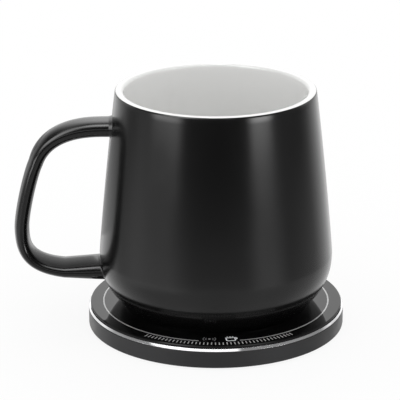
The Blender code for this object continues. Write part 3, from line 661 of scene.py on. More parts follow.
@dataclass(frozen=True)
class Palette:
    """Every finish of the warmer and the mug."""

    satin_plastic: Finish = Finish(
        "Satin black plastic", (0.014, 0.014, 0.015), (0.36, 0.46), grain_depth=0.02 * MM
    )
    black_plastic: Finish = Finish(
        "Black plastic", (0.015, 0.015, 0.016), (0.42, 0.55), grain_depth=0.02 * MM
    )
    grey_plastic: Finish = Finish("Grey plastic", (0.25, 0.25, 0.26), (0.42, 0.55))
    clear_plastic: Finish = Finish("Frosted clear plastic", (0.85, 0.87, 0.88), (0.2, 0.3), see_through=0.6)
    glass: Finish = Finish(
        "Black glass", (0.004, 0.004, 0.004), (0.012, 0.03), grain_fineness=120.0, grain_depth=0.0,
        patch_fineness=45.0, ior=1.3,
    )
    silver: Finish = Finish(
        "Polished silver", (0.86, 0.86, 0.87), (0.05, 0.09), metallic=1.0, colour_spread=0.01,
        grain_fineness=400.0, grain_depth=0.001 * MM,
    )
    steel: Finish = Finish("Plated steel", (0.6, 0.6, 0.61), (0.24, 0.34), metallic=1.0, colour_spread=0.03)
    gold: Finish = Finish("Gold plate", (0.83, 0.6, 0.25), (0.2, 0.3), metallic=1.0, colour_spread=0.02)
    silicone: Finish = Finish(
        "Silicone", (0.028, 0.028, 0.029), (0.7, 0.85), grain_fineness=900.0, grain_depth=0.03 * MM
    )
    tape: Finish = Finish("Foam tape", (0.05, 0.05, 0.05), (0.65, 0.8), grain_depth=0.04 * MM)
    board: Finish = Finish("Solder mask", (0.01, 0.09, 0.04), (0.3, 0.42), coat=0.4, coat_roughness=0.2)
    ferrite: Finish = Finish("Ferrite", (0.06, 0.06, 0.065), (0.5, 0.65), grain_depth=0.02 * MM)
    copper: Finish = Finish(
        "Enamelled copper", (0.72, 0.34, 0.16), (0.28, 0.4), metallic=1.0, coat=0.6, coat_roughness=0.15
    )
    mica: Finish = Finish(
        "Mica sheet", (0.55, 0.42, 0.25), (0.4, 0.55), colour_spread=0.15, grain_fineness=300.0
    )
    felt: Finish = Finish(
        "Fibre felt", (0.75, 0.74, 0.7), (0.9, 1.0), colour_spread=0.1, grain_depth=0.15 * MM
    )
    capacitor: Finish = Finish("Brown chip ceramic", (0.35, 0.2, 0.1), (0.35, 0.5))
    lamp: Finish = Finish("Lamp white", (0.9, 0.9, 0.82), (0.3, 0.4))
    black_glaze: Finish = Finish(
        "Satin black glaze", (0.0035, 0.0035, 0.0035), (0.17, 0.21), grain_fineness=260.0,
        grain_depth=0.006 * MM, patch_fineness=35.0,
    )
    white_glaze: Finish = Finish(
        "Glossy white glaze", (0.9, 0.9, 0.89), (0.06, 0.12), colour_spread=0.01, grain_fineness=220.0,
        grain_depth=0.01 * MM,
    )
    print_grey: Finish = Finish(
        "Grey print", (0.5, 0.5, 0.5), (0.3, 0.4), colour_spread=0.04, coat=1.0, coat_roughness=0.02
    )
    print_white: Finish = replace(print_grey, name="White print", colour=(0.62, 0.62, 0.62))
    mark_dim: Finish = replace(print_grey, name="Unlit mark", colour=(0.2, 0.2, 0.205))
    mark_lit: Finish = replace(
        print_grey, name="Lit mark", colour=(0.8, 0.82, 0.84), colour_spread=0.0, glow=0.25
    )

    def materials(self, effects: Effects) -> dict[str, bpy.types.Material]:
        """Build every finish's material.

        Args:
            effects: The shared node groups.

        Returns:
            The materials by the finish's field name.
        """
        return {entry.name: getattr(self, entry.name).material(effects) for entry in fields(self)}


# Warmer


@dataclass
class Housing:
    """The side wall with its shelf, its screw bosses and the power socket's opening."""

    materials: Materials
    span: Span = field(default_factory=lambda: span("housing"))
    wall: float = 1.8 * MM
    shelf_width: float = 1.6 * MM
    shelf_thickness: float = 1.0 * MM
    foot_round: float = 0.4 * MM
    edge_round: float = 0.12 * MM
    boss_count: int = 4
    boss_inset: float = 4.9 * MM
    boss_radius: float = 2.4 * MM
    boss_height: float = 3.45 * MM
    boss_overlap: float = 0.2 * MM
    hole_radius: float = 1.2 * MM
    hole_depth: float = 2.9 * MM
    rib_width: float = 2.0 * MM
    rib_height: float = 2.45 * MM
    overrun: float = 1.0 * MM

    def __post_init__(self) -> None:
        """Work out the sizes that several features share."""
        self.inside = self.span.radius - self.wall
        self.shelf_bottom = self.span.top - self.shelf_thickness
        self.boss_circle = self.inside - self.boss_inset
        self.boss_top = self.shelf_bottom + self.boss_overlap
        self.boss_bottom = self.shelf_bottom - self.boss_height
        self.boss_angles = [
            math.pi / self.boss_count * (1 + 2 * index) for index in range(self.boss_count)
        ]

    def build_shell(self) -> Piece:
        """Model the wall and its shelf.

        Returns:
            The piece.
        """
        shelf_inside = self.inside - self.shelf_width
        return turned("housing_shell", rounded((
            (self.inside, self.span.bottom, 0),
            (self.span.radius, self.span.bottom, self.foot_round),
            (self.span.radius, self.span.top, self.edge_round),
            (shelf_inside, self.span.top, self.edge_round),
            (shelf_inside, self.shelf_bottom, 0),
            (self.inside, self.shelf_bottom, 0),
        )), closed=True)

    def build_boss(self, angle: float) -> Piece:
        """Model a screw boss.

        Args:
            angle: Its angle about Z.

        Returns:
            The piece.
        """
        return post("boss", polar(self.boss_circle, angle), self.boss_radius, self.boss_bottom, self.boss_top)

    def build_rib(self, angle: float) -> Piece:
        """Model the rib that ties a boss to the wall.

        Args:
            angle: The boss's angle about Z.

        Returns:
            The piece.
        """
        length = self.inside + self.wall / 2 - self.boss_circle
        middle = polar(self.boss_circle + length / 2, angle)
        return bar(
            "rib", Vector((length, self.rib_width, self.rib_height)),
            Vector((*middle, self.boss_top - self.rib_height / 2)), angle,
        )

    def build_hole(self, angle: float) -> Piece:
        """Model a cutter for a screw hole.

        Args:
            angle: The boss's angle about Z.

        Returns:
            The cutter.
        """
        return post(
            "hole", polar(self.boss_circle, angle), self.hole_radius,
            self.boss_bottom - self.overrun, self.boss_bottom + self.hole_depth,
        )

    def build(self, socket: "PowerSocket") -> Piece:
        """Model the housing.

        Args:
            socket: The power socket whose opening is cut.

        Returns:
            The piece.
        """
        housing = self.build_shell()
        for angle in self.boss_angles:
            combine(housing, self.build_boss(angle), "UNION")
            combine(housing, self.build_rib(angle), "UNION")
        for angle in self.boss_angles:
            combine(housing, self.build_hole(angle), "DIFFERENCE")
        combine(housing, socket.opening(self.span.radius + self.overrun), "DIFFERENCE")
        smooth(housing)
        keep_flats(housing)
        return hand_over(
            housing, Body.WARMER, Slot.SATIN_PLASTIC, [self.materials["satin_plastic"]], "housing"
        )


@dataclass
class TrimRing:
    """The bright bevelled ring round the glass."""

    materials: Materials
    span: Span = field(default_factory=lambda: span("trim_ring"))
    skirt_depth: float = 0.6 * MM
    skirt_outside_inset: float = 3.7 * MM
    skirt_width: float = 0.7 * MM
    bevel_run: float = 0.4 * MM
    edge: float = 0.1 * MM
    flange_height: float = 0.45 * MM
    edge_round: float = 0.05 * MM
    foot_round: float = 0.08 * MM
    smooth_angle: float = math.radians(40)

    def build(self) -> Piece:
        """Model the ring.

        Returns:
            The piece.
        """
        outside = self.span.radius
        seat = self.span.bottom + self.skirt_depth
        lip = outside - self.bevel_run
        skirt_outside = outside - self.skirt_outside_inset
        inside = skirt_outside - self.skirt_width
        ring = turned("trim_ring_shell", rounded((
            (inside, self.span.bottom, 0),
            (skirt_outside, self.span.bottom, 0),
            (skirt_outside, seat, 0),
            (outside, seat, self.foot_round),
            (lip, self.span.top, self.edge_round),
            (lip - self.edge, self.span.top, 0),
            (lip - self.edge, seat + self.flange_height, 0),
            (inside, seat + self.flange_height, 0),
        )), closed=True)
        smooth(ring, self.smooth_angle)
        keep_flats(ring)
        return hand_over(ring, Body.WARMER, Slot.SILVER, [self.materials["silver"]], "trim_ring")


@dataclass
class GlassTop:
    """The round glass with its ground bevel."""

    materials: Materials
    span: Span = field(default_factory=lambda: span("top_glass"))
    bevel: float = 0.35 * MM
    edge_round: float = 0.05 * MM

    def build(self) -> Piece:
        """Model the glass.

        Returns:
            The piece.
        """
        radius, bottom, top = self.span.radius, self.span.bottom, self.span.top
        glass = turned("glass_top", rounded((
            (0, bottom, 0),
            (radius, bottom, self.edge_round),
            (radius, top - self.bevel, self.edge_round),
            (radius - self.bevel, top, self.edge_round),
            (0, top, 0),
        ), closed=False))
        smooth(glass)
        keep_flats(glass)
        return hand_over(glass, Body.WARMER, Slot.GLASS, [self.materials["glass"]], "top_glass")


@dataclass
class AntiSlipPad:
    """The round silicone pad under the disc, with fine rings pressed into its underside."""

    materials: Materials
    span: Span = field(default_factory=lambda: span("anti_slip_pad"))
    edge_round: float = 0.2 * MM
    groove_count: int = 3
    groove_spacing: float = 4.0 * MM
    groove_width: float = 0.8 * MM
    groove_depth: float = 0.25 * MM

    def build(self) -> Piece:
        """Model the pad.

        Returns:
            The piece.
        """
        radius, bottom, top = self.span.radius, self.span.bottom, self.span.top
        corners: list[Corner] = [(0, bottom, 0)]
        for number in range(self.groove_count, 0, -1):
            middle = radius - number * self.groove_spacing
            half = self.groove_width / 2
            corners += [
                (middle - half, bottom, 0),
                (middle - half / 2, bottom + self.groove_depth, 0),
                (middle + half / 2, bottom + self.groove_depth, 0),
                (middle + half, bottom, 0),
            ]
        corners += [(radius, bottom, self.edge_round), (radius, top, self.edge_round), (0, top, 0)]
        pad = turned("grip_pad", rounded(corners, closed=False))
        smooth(pad)
        return hand_over(pad, Body.WARMER, Slot.SILICONE, [self.materials["silicone"]], "anti_slip_pad")


@dataclass
class PowerSocket:
    """The small power socket at the rear: its shell, its tongue and the contacts on it."""

    materials: Materials
    clearance: float = 0.25 * MM
    shell_wall: float = 0.3 * MM
    lip_round: float = 0.06 * MM
    blade_thickness: float = 0.7 * MM
    blade_round: float = 0.12 * MM
    base_length: float = 1.6 * MM
    contact_rows: int = 2
    contact_count: int = 12
    contact_pitch: float = 0.5 * MM
    contact_width: float = 0.28 * MM
    contact_length: float = 3.4 * MM
    contact_height: float = 0.04 * MM
    contact_setback: float = 0.5 * MM

    def __post_init__(self) -> None:
        """Measure the CAD socket."""
        self.low, self.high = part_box("power_socket_shell")
        self.tongue_low, self.tongue_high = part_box("power_socket_tongue")
        self.middle = (self.low.z + self.high.z) / 2
        self.radius = (self.high.z - self.low.z) / 2
        self.half_flat = self.high.x - self.radius

    def outline(self, margin: float, depth: float) -> list[Vector]:
        """The socket's section, across the disc.

        Args:
            margin: How much larger it is all round.
            depth: Its place along Y.

        Returns:
            The section's points.
        """
        return [
            Vector((across, depth, self.middle + up))
            for across, up in stadium(self.half_flat, self.radius + margin)
        ]

    def opening(self, front: float) -> Piece:
        """A cutter for the opening in the housing.

        Args:
            front: How far along Y it reaches.

        Returns:
            The cutter.
        """
        reach = Vector((0, front - self.low.y, 0))
        cutter = extruded("socket_opening", self.outline(self.clearance, self.low.y), reach)
        face_outwards()
        return cutter

    def build_shell(self) -> Piece:
        """Model the shell, open to the rear of the disc.

        Returns:
            The piece.
        """
        length = self.high.y - self.low.y
        shell = extruded("socket_shell", self.outline(0, self.low.y), Vector((0, length, 0)))
        bpy.ops.mesh.inset(thickness=self.shell_wall)
        bpy.ops.mesh.extrude_region_move(
            TRANSFORM_OT_translate={"value": (0, self.shell_wall - length, 0)}
        )
        face_outwards()
        soften_edges(shell, self.lip_round)
        smooth(shell)
        return hand_over(shell, Body.WARMER, Slot.STEEL, [self.materials["steel"]], "power_socket_shell")

    def build_tongue(self) -> Piece:
        """Model the tongue: its base and the blade that carries the contacts.

        Returns:
            The piece.
        """
        low, high = self.tongue_low, self.tongue_high
        width = high.x - low.x
        tongue = bar(
            "socket_tongue", Vector((width, self.base_length, high.z - low.z)),
            Vector((0, low.y + self.base_length / 2, self.middle)),
        )
        blade_length = high.y - low.y - self.base_length / 2
        blade = bar(
            "blade", Vector((width - 2 * self.clearance, blade_length, self.blade_thickness)),
            Vector((0, high.y - blade_length / 2, self.middle)),
        )
        combine(tongue, blade, "UNION")
        soften_edges(tongue, self.blade_round)
        smooth(tongue)
        return hand_over(
            tongue, Body.WARMER, Slot.BLACK_PLASTIC, [self.materials["black_plastic"]], "power_socket_tongue"
        )

    def build_contacts(self) -> Piece:
        """Model the rows of contacts on both faces of the blade.

        Returns:
            The piece.
        """
        half_row = (self.contact_count - 1) / 2 * self.contact_pitch
        size = Vector((self.contact_width, self.contact_length, 2 * self.contact_height))
        depth = self.tongue_high.y - self.contact_setback - self.contact_length / 2
        contacts = bar(
            "socket_contacts", size, Vector((-half_row, depth, self.middle + self.blade_thickness / 2))
        )
        soften_edges(contacts, self.contact_height / 2, segments=1)
        for count, step in (
            (self.contact_count, Vector((self.contact_pitch, 0, 0))),
            (self.contact_rows, Vector((0, 0, -self.blade_thickness))),
        ):
            apply_modifier(
                contacts, "ARRAY", count=count, use_relative_offset=False, use_constant_offset=True,
                constant_offset_displace=step,
            )
        smooth(contacts)
        return hand_over(contacts, Body.WARMER, Slot.COPPER, [self.materials["gold"]])


@dataclass
class Stroke:
    """A thin flat line of print along a path; the limit keeps a sharp bend from growing a spike."""

    path: list[Point]
    width: float
    bend_limit: float = 0.5

    def sides(self) -> list[Point]:
        """The outline of the line, half its width to each side of the path.

        Returns:
            The outline's points.
        """
        left: list[Point] = []
        right: list[Point] = []
        for index, (across, up) in enumerate(self.path):
            before = Vector(self.path[max(index - 1, 0)])
            after = Vector(self.path[min(index + 1, len(self.path) - 1)])
            here = Vector((across, up))
            first = (here - before).normalized() if index else (after - here).normalized()
            last = (after - here).normalized() if index < len(self.path) - 1 else first
            along = (first + last).normalized()
            stretch = self.width / 2 / max(along.dot(first), self.bend_limit)
            aside = Vector((-along.y, along.x)) * stretch
            left.append((here.x + aside.x, here.y + aside.y))
            right.append((here.x - aside.x, here.y - aside.y))
        return left + right[::-1]


@dataclass
class Printing:
    """The printed circle, the row of ticks and the two lit marks on the glass.

    Angles are in degrees from the front, positive to the right.
    """

    materials: Materials
    glass: Span = field(default_factory=lambda: span("top_glass"))
    ink: float = 0.02 * MM
    lift: float = 0.004 * MM
    circle_radius: float = 48.5 * MM
    circle_width: float = 0.6 * MM
    circle_gap: tuple[float, float] = (-10.7, 9.7)
    tick_radius: float = 51.1 * MM
    tick_length: float = 2.4 * MM
    tick_width: float = 0.42 * MM
    tick_range: tuple[float, float] = (-36.6, 35.4)
    tick_count: int = 41
    mark_circle: float = 46.2 * MM
    standby_angle: float = -5.55
    heating_angle: float = 5.35
    dot_radius: float = 0.5 * MM
    wave_radii: tuple[float, ...] = (1.55 * MM, 2.6 * MM)
    wave_half_angle: float = 40.0
    line_width: float = 0.42 * MM
    cup_width: float = 4.2 * MM
    cup_height: float = 3.7 * MM
    cup_wall: float = 0.55 * MM
    cup_corner: float = 0.9 * MM
    cup_drop: float = 0.55 * MM
    cup_handle_radius: float = 0.85 * MM
    cup_dot_radius: float = 0.36 * MM
    cup_dot_spacing: float = 1.1 * MM
    cup_dot_clearance: float = 0.25 * MM
    cutter_overrun: float = 1.0 * MM
    path_steps: int = 16

    @staticmethod
    def angle_on_glass(degrees: float) -> float:
        """Turn an angle from the front into one about Z.

        Args:
            degrees: The angle from the front, in degrees.

        Returns:
            The angle about Z, in radians.
        """
        return math.radians(degrees) - math.pi / 2

    def lay(self, name: str, outline: Sequence[Point], overrun: float = 0.0) -> Piece:
        """Lay a flat outline of print on the glass.

        Args:
            name: Name of the new piece.
            outline: The outline's points.
            overrun: How far it passes the print above and below, for a cutter.

        Returns:
            The piece.
        """
        base = self.glass.top + self.lift - overrun
        reach = Vector((0, 0, self.ink + 2 * overrun))
        piece = extruded(name, [Vector((x, y, base)) for x, y in outline], reach)
        face_outwards()
        return piece

    @staticmethod
    def join_all(name: str, pieces: Sequence[Piece]) -> Piece:
        """Join several pieces of print to one object.

        Args:
            name: Name of the joined piece.
            pieces: The pieces to join.

        Returns:
            The joined piece.
        """
        pick(pieces[0])
        for piece in pieces[1:]:
            piece.select_set(True)
        bpy.ops.object.join()
        pieces[0].name = name
        return pieces[0]

    def place_mark(self, mark: Piece, degrees: float) -> None:
        """Move a mark drawn round the origin to its place on the glass, turned to face the front.

        Args:
            mark: The mark.
            degrees: Its angle from the front.
        """
        pick(mark)
        mark.rotation_euler.z = math.radians(degrees)
        mark.location = (*polar(self.mark_circle, self.angle_on_glass(degrees)), 0)
        bpy.ops.object.transform_apply(location=True, rotation=True, scale=True)

    def build_circle(self) -> Piece:
        """Model the printed circle with its gap at the front.

        Returns:
            The piece.
        """
        start = self.angle_on_glass(self.circle_gap[1])
        end = self.angle_on_glass(self.circle_gap[0]) + 2 * math.pi
        path = arc((0, 0), self.circle_radius, start, end, ROUND_STEPS)
        circle = self.lay("printed_circle", Stroke(path, self.circle_width).sides())
        return hand_over(circle, Body.WARMER, Slot.GLASS, [self.materials["print_grey"]])

    def build_ticks(self) -> Piece:
        """Model one tick and copy it along the glass's edge.

        Returns:
            The piece.
        """
        start, end = (self.angle_on_glass(degrees) for degrees in self.tick_range)
        inner = polar(self.tick_radius - self.tick_length / 2, start)
        outer = polar(self.tick_radius + self.tick_length / 2, start)
        ticks = self.lay("tick_row", Stroke([inner, outer], self.tick_width).sides())
        pick(ticks)
        bpy.ops.object.mode_set(mode="EDIT")
        bpy.ops.mesh.select_all(action="SELECT")
        bpy.ops.mesh.spin(
            steps=self.tick_count - 1, dupli=True, angle=start - end, center=(0, 0, 0), axis=(0, 0, 1)
        )
        bpy.ops.object.mode_set(mode="OBJECT")
        return hand_over(ticks, Body.WARMER, Slot.GLASS, [self.materials["print_white"]])

    def dot(self, name: str, place: Point, radius: float) -> Piece:
        """Lay a round dot of print.

        Args:
            name: Name of the new piece.
            place: Its middle.
            radius: Its radius.

        Returns:
            The piece.
        """
        return self.lay(name, arc(place, radius, 0, 2 * math.pi, self.path_steps)[:-1])

    def build_standby_mark(self) -> Piece:
        """Model the dim mark: a dot with two arcs on each side.

        Returns:
            The piece.
        """
        half = math.radians(self.wave_half_angle)
        dot = self.dot("standby_dot", (0, 0), self.dot_radius)
        dot.data.materials.append(self.materials["print_grey"])
        pieces = [dot]
        for radius in self.wave_radii:
            for middle in (0, math.pi):
                path = arc((0, 0), radius, middle - half, middle + half, self.path_steps)
                wave = self.lay("standby_wave", Stroke(path, self.line_width).sides())
                wave.data.materials.append(self.materials["mark_dim"])
                pieces.append(wave)
        mark = self.join_all("standby_mark", pieces)
        self.place_mark(mark, self.standby_angle)
        return hand_over(mark, Body.WARMER, Slot.LAMP, [self.materials["mark_dim"]])

    def cup_outline(self, inset: float) -> list[Point]:
        """The outline of the cup in the lit mark.

        Args:
            inset: How far it is drawn in from the cup's outer size.

        Returns:
            The outline's points.
        """
        half = self.cup_width / 2 - inset
        top = self.cup_height / 2 - self.cup_drop - inset
        bottom = -self.cup_height / 2 - self.cup_drop + inset
        corner = self.cup_corner - inset
        return rounded(((half, top, 0), (-half, top, 0), (-half, bottom, corner), (half, bottom, corner)))

    def build_heating_mark(self) -> Piece:
        """Model the lit mark: the outline of a cup with three dots above it.

        Returns:
            The piece.
        """
        top = self.cup_height / 2 - self.cup_drop
        half_wall = self.cup_wall / 2
        cup = self.lay("heating_cup", self.cup_outline(0))
        handle = arc(
            (self.cup_width / 2 - half_wall, top - self.cup_handle_radius - half_wall),
            self.cup_handle_radius, math.pi / 2, -math.pi / 2, self.path_steps,
        )
        combine(cup, self.lay("heating_handle", Stroke(handle, self.cup_wall).sides()), "UNION")
        window = self.lay("heating_window", self.cup_outline(self.cup_wall), self.cutter_overrun)
        combine(cup, window, "DIFFERENCE")
        dots_height = top + self.cup_dot_clearance + self.cup_dot_radius
        pieces = [cup] + [
            self.dot("heating_dot", (number * self.cup_dot_spacing, dots_height), self.cup_dot_radius)
            for number in (-1, 0, 1)
        ]
        for piece in pieces:
            piece.data.materials.clear()
            piece.data.materials.append(self.materials["mark_lit"])
        mark = self.join_all("heating_mark", pieces)
        mark.visible_glossy = False
        self.place_mark(mark, self.heating_angle)
        return hand_over(mark, Body.WARMER, Slot.LAMP, [self.materials["mark_lit"]])


@dataclass
class SpiralCoil:
    """A flat spiral of round wire that stands for a CAD coil."""

    node: str
    body: Body
    turns: int
    wire: float
    materials: Materials
    pitch_gap: float = 0.5 * MM
    turn_steps: int = 48
    wire_resolution: int = 3

    def build(self) -> Piece:
        """Wind the coil inside the CAD coil's box.

        Returns:
            The piece.
        """
        low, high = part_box(self.node)
        pitch = self.wire + self.pitch_gap
        last_radius = high.x - self.wire / 2
        height = (low.z + high.z) / 2
        curve = bpy.data.curves.new(f"{self.node}_winding", "CURVE")
        curve.dimensions = "3D"
        curve.bevel_depth = self.wire / 2
        curve.bevel_resolution = self.wire_resolution
        curve.use_fill_caps = True
        spline = curve.splines.new("POLY")
        count = self.turns * self.turn_steps
        spline.points.add(count)
        for index, point in enumerate(spline.points):
            turn = index / self.turn_steps
            radius = last_radius - pitch * (self.turns - turn)
            angle = 2 * math.pi * turn
            point.co = (radius * math.cos(angle), radius * math.sin(angle), height, 1)
        winding = bpy.data.objects.new(f"{self.node}_winding", curve)
        bpy.context.scene.collection.objects.link(winding)
        pick(winding)
        bpy.ops.object.convert(target="MESH")
        smooth(winding)
        return hand_over(winding, self.body, Slot.COPPER, [self.materials["copper"]], self.node)


@dataclass
class InnerPieces:
    """The CAD pieces inside that keep their shape and get a better finish."""

    materials: Materials
    finishes: tuple[tuple[str, tuple[str, ...]], ...] = (
        ("satin_plastic", ("bottom_cover",)),
        ("steel", numbered("cover_screw", 4)),
        ("tape", ("glass_tape",)),
        ("board", ("control_board", "receiver_board")),
        ("black_plastic", ("light_shield", "controller_chip", "input_chip", "rectifier_chip")),
        ("black_plastic", numbered("power_transistor", 2)),
        ("black_plastic", ("temperature_sensor", "mug_sensor")),
        ("lamp", ("standby_lamp", "heating_lamp")),
        ("clear_plastic", ("standby_light_guide", "heating_light_guide")),
        ("capacitor", numbered("tuning_capacitor", 3)),
        ("ferrite", ("filter_inductor", "ferrite_plate", "receiver_ferrite")),
        ("grey_plastic", ("coil_tray",)),
        ("mica", ("insulating_sheet", "heating_film")),
        ("silicone", ("base_gasket",)),
        ("felt", ("heat_insulation",)),
    )

    def dress(self) -> None:
        """Give each piece its finish."""
        for finish, nodes in self.finishes:
            for node in nodes:
                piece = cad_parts[node]
                piece.data.materials.clear()
                piece.data.materials.append(self.materials[finish])
            log.info("%s: %s", finish, ", ".join(nodes))


# Mug


@dataclass(frozen=True)
class HandleCorner:
    """A Bezier corner of the handle's middle line.

    Its place is given as shares of the handle's reach from the mug's axis and of its rise from bottom to top.
    """

    shares: Point
    thickness: float
    width: float = HANDLE_WIDTH


@dataclass(frozen=True)
class HandleRing:
    """One ring of the handle: its place and size, and for a root what it adds and its gap to the body."""

    place: Point
    size: Point
    growth: float = 0.0
    offset: float | None = None


@dataclass
class Mug:
    """The ceramic mug with its handle.

    The glaze edge and the end of a root's rounding are angles in degrees.
    """

    materials: Materials
    span: Span = field(default_factory=lambda: span("mug_body"))
    rim_radius: float = 42.5 * MM
    belly_radius: float = 49.9 * MM
    belly_height: float = 22.2 * MM
    foot_radius: float = 39.9 * MM
    foot_round: float = 0.4 * MM
    wall: float = 3.7 * MM
    lip_outer_round: float = 0.8 * MM
    lip_inner_round: float = 1.4 * MM
    glaze_edge: float = 55.0
    glaze_edge_steps: int = 2
    floor_height: float = 12.6 * MM
    floor_radius: float = 34.0 * MM
    heater_space_radius: float = 35.0 * MM
    heater_space_top: float = 8.4 * MM
    cap_seat_radius: float = 36.95 * MM
    cap_seat_top: float = 2.9 * MM
    heel_shares: tuple[Point, Point] = ((0.79, 0.37), (1.0, 0.62))
    side_shares: tuple[Point, Point] = ((0.0, 0.03), (0.41, 0.51))
    inside_heel_shares: tuple[Point, Point] = ((0.0, 0.60), (0.45, 1.0))
    heel_steps: int = 20
    side_steps: int = 40
    lip_steps: int = 6
    handle_standoff: float = 33.0 * MM
    handle_below_rim: float = 16.0 * MM
    handle_below_belly: float = 7.0 * MM
    section_fullness: float = 2.2
    section_steps: int = 48
    upper_root: Point = (7.8 * MM, HANDLE_WIDTH)
    lower_root: Point = (9.0 * MM, 18.8 * MM)
    handle_corners: tuple[HandleCorner, ...] = (
        HandleCorner((0.588, 1.0), 7.7 * MM),
        HandleCorner((0.881, 1.0), 7.8 * MM),
        HandleCorner((0.911, 0.781), 6.5 * MM),
        HandleCorner((0.921, 0.753), 6.3 * MM),
        HandleCorner((0.952, 0.665), 6.3 * MM),
        HandleCorner((1.0, 0.389), 6.3 * MM),
        HandleCorner((1.0, 0.296), 6.3 * MM),
        HandleCorner((1.0, 0.165), 6.2 * MM, 15.4 * MM),
        HandleCorner((0.99, 0.034), 5.6 * MM, 17.0 * MM),
        HandleCorner((0.784, 0.0), 6.6 * MM, 17.8 * MM),
    )
    stretch_steps: tuple[int, ...] = (30, 16, 30)
    straight_steps: int = 5
    root_round: float = 0.8 * MM
    root_round_steps: int = 6
    root_round_end: float = 80.0
    root_depth: float = 1.0 * MM

    @property
    def height(self) -> float:
        """Height of the ceramic above its foot."""
        return self.span.height

    def side(self) -> tuple[list[Point], list[Point]]:
        """The ceramic's outer side.

        Returns:
            The run from the foot to the belly and the run from the belly to the lip, as (radius, height).
        """
        foot = (self.foot_radius, self.foot_round)
        belly = (self.belly_radius, self.belly_height)
        side_top = (self.rim_radius, self.height - self.lip_outer_round)
        heel = curve_points(foot, shared_handles(foot, belly, self.heel_shares), belly, self.heel_steps)
        side = curve_points(
            belly, shared_handles(belly, side_top, self.side_shares), side_top, self.side_steps
        )
        return heel, side

    def outline(self) -> list[Point]:
        """The ceramic's section, from the middle of its underside over the rim to its inside floor.

        Returns:
            Points as (radius, height above the foot).
        """
        heel, side = self.side()
        inside = [(radius - self.wall, height) for radius, height in reversed(side[:-1])]
        floor = (self.floor_radius, self.floor_height)
        inside_heel = curve_points(
            inside[-1], shared_handles(inside[-1], floor, self.inside_heel_shares), floor, self.heel_steps
        )
        return [
            *self.underside(), *heel, *side[1:-1], *self.lip(), *inside, *inside_heel[1:],
            (0, self.floor_height),
        ]

    def underside(self) -> list[Point]:
        """The space for the heater, the cap's seat and the foot ring.

        Returns:
            Points as (radius, height above the foot), from the middle outwards.
        """
        quarter = math.pi / 2
        inner_foot = (self.cap_seat_radius + self.foot_round, self.foot_round)
        outer_foot = (self.foot_radius - self.foot_round, self.foot_round)
        return [
            (0, self.heater_space_top),
            (self.heater_space_radius, self.heater_space_top),
            (self.heater_space_radius, self.cap_seat_top),
            (self.cap_seat_radius, self.cap_seat_top),
            (self.cap_seat_radius, self.foot_round),
            *arc(inner_foot, self.foot_round, 2 * quarter, 3 * quarter, EDGE_STEPS)[1:],
            *arc(outer_foot, self.foot_round, -quarter, 0, EDGE_STEPS)[:-1],
        ]

    def lip(self) -> list[Point]:
        """The lip's two roundings, with a point where the black glaze ends.

        Returns:
            Points as (radius, height above the foot), from the outside inwards.
        """
        quarter = math.pi / 2
        glaze_edge = math.radians(self.glaze_edge)
        outer = (self.rim_radius - self.lip_outer_round, self.height - self.lip_outer_round)
        inner = (self.rim_radius - self.wall + self.lip_inner_round, self.height - self.lip_inner_round)
        return [
            *arc(outer, self.lip_outer_round, 0, glaze_edge, self.glaze_edge_steps),
            *arc(outer, self.lip_outer_round, glaze_edge, quarter, self.lip_steps)[1:],
            *arc(inner, self.lip_inner_round, quarter, 2 * quarter, self.lip_steps),
        ]

    def handle_line(self) -> list[HandleRing]:
        """The handle's middle line from the upper root to the lower one, without the roots.

        Returns:
            Its rings, placed by their distance along X and their height above the foot.
        """
        reach = self.belly_radius + self.handle_standoff
        top = self.height - self.handle_below_rim
        bottom = self.belly_height - self.handle_below_belly
        places = [
            (-corner.shares[0] * reach, bottom + corner.shares[1] * (top - bottom))
            for corner in self.handle_corners
        ]
        sizes = [(corner.thickness, corner.width) for corner in self.handle_corners]
        line = [HandleRing(places[0], sizes[0])]
        for index, steps in enumerate(self.stretch_steps):
            first = index * STRETCH_CORNERS
            last = first + STRETCH_CORNERS
            line += map(
                HandleRing,
                curve_points(places[first], places[first + 1:last], places[last], steps)[1:],
                curve_points(sizes[first], sizes[first + 1:last], sizes[last], steps)[1:],
            )
        return line

    def handle_section(self, size: Point) -> list[Point]:
        """The handle's section: an oval, a little fuller than an ellipse.

        Args:
            size: Its full thickness and width.

        Returns:
            Points as (across the thickness, along the width).
        """
        power = 2 / self.section_fullness
        section: list[Point] = []
        for step in range(self.section_steps):
            angle = 2 * math.pi * step / self.section_steps
            across, along = (
                math.copysign(abs(part) ** power, part) for part in (math.cos(angle), math.sin(angle))
            )
            section.append((across * size[0] / 2, along * size[1] / 2))
        return section

    def body_radius(self, height: float) -> float:
        """The radius of the ceramic's outer side.

        Args:
            height: Where it is measured, above the foot.

        Returns:
            The radius there.
        """
        heel, side = self.side()
        run = heel + side[1:]
        for (radius, low), (next_radius, high) in zip(run, run[1:]):
            if low <= height <= high:
                return radius + (next_radius - radius) * (height - low) / (high - low)
        return self.rim_radius

    def handle_rings(self) -> list[HandleRing]:
        """Where the handle's section stands along its middle line, from the upper root to the lower one.

        Returns:
            The rings, first to last.
        """
        rings = self.handle_line()
        for end, root in ((0, self.upper_root), (-1, self.lower_root)):
            last = rings[end]
            foot = (-self.body_radius(last.place[1]) - self.root_round, last.place[1])
            steps = [step / self.straight_steps for step in range(1, self.straight_steps)]
            run = [
                HandleRing(
                    tuple(Vector(last.place).lerp(Vector(foot), share)),
                    tuple(Vector(last.size).lerp(Vector(root), share)),
                )
                for share in steps
            ]
            for step in range(self.root_round_steps + 1):
                angle = math.radians(self.root_round_end) * step / self.root_round_steps
                growth, offset = (self.root_round * (1 - part) for part in (math.cos(angle), math.sin(angle)))
                run.append(HandleRing(foot, root, growth, offset))
            run.append(HandleRing(foot, root, run[-1].growth, -self.root_depth))
            rings = run[::-1] + rings if end == 0 else rings + run
        return rings

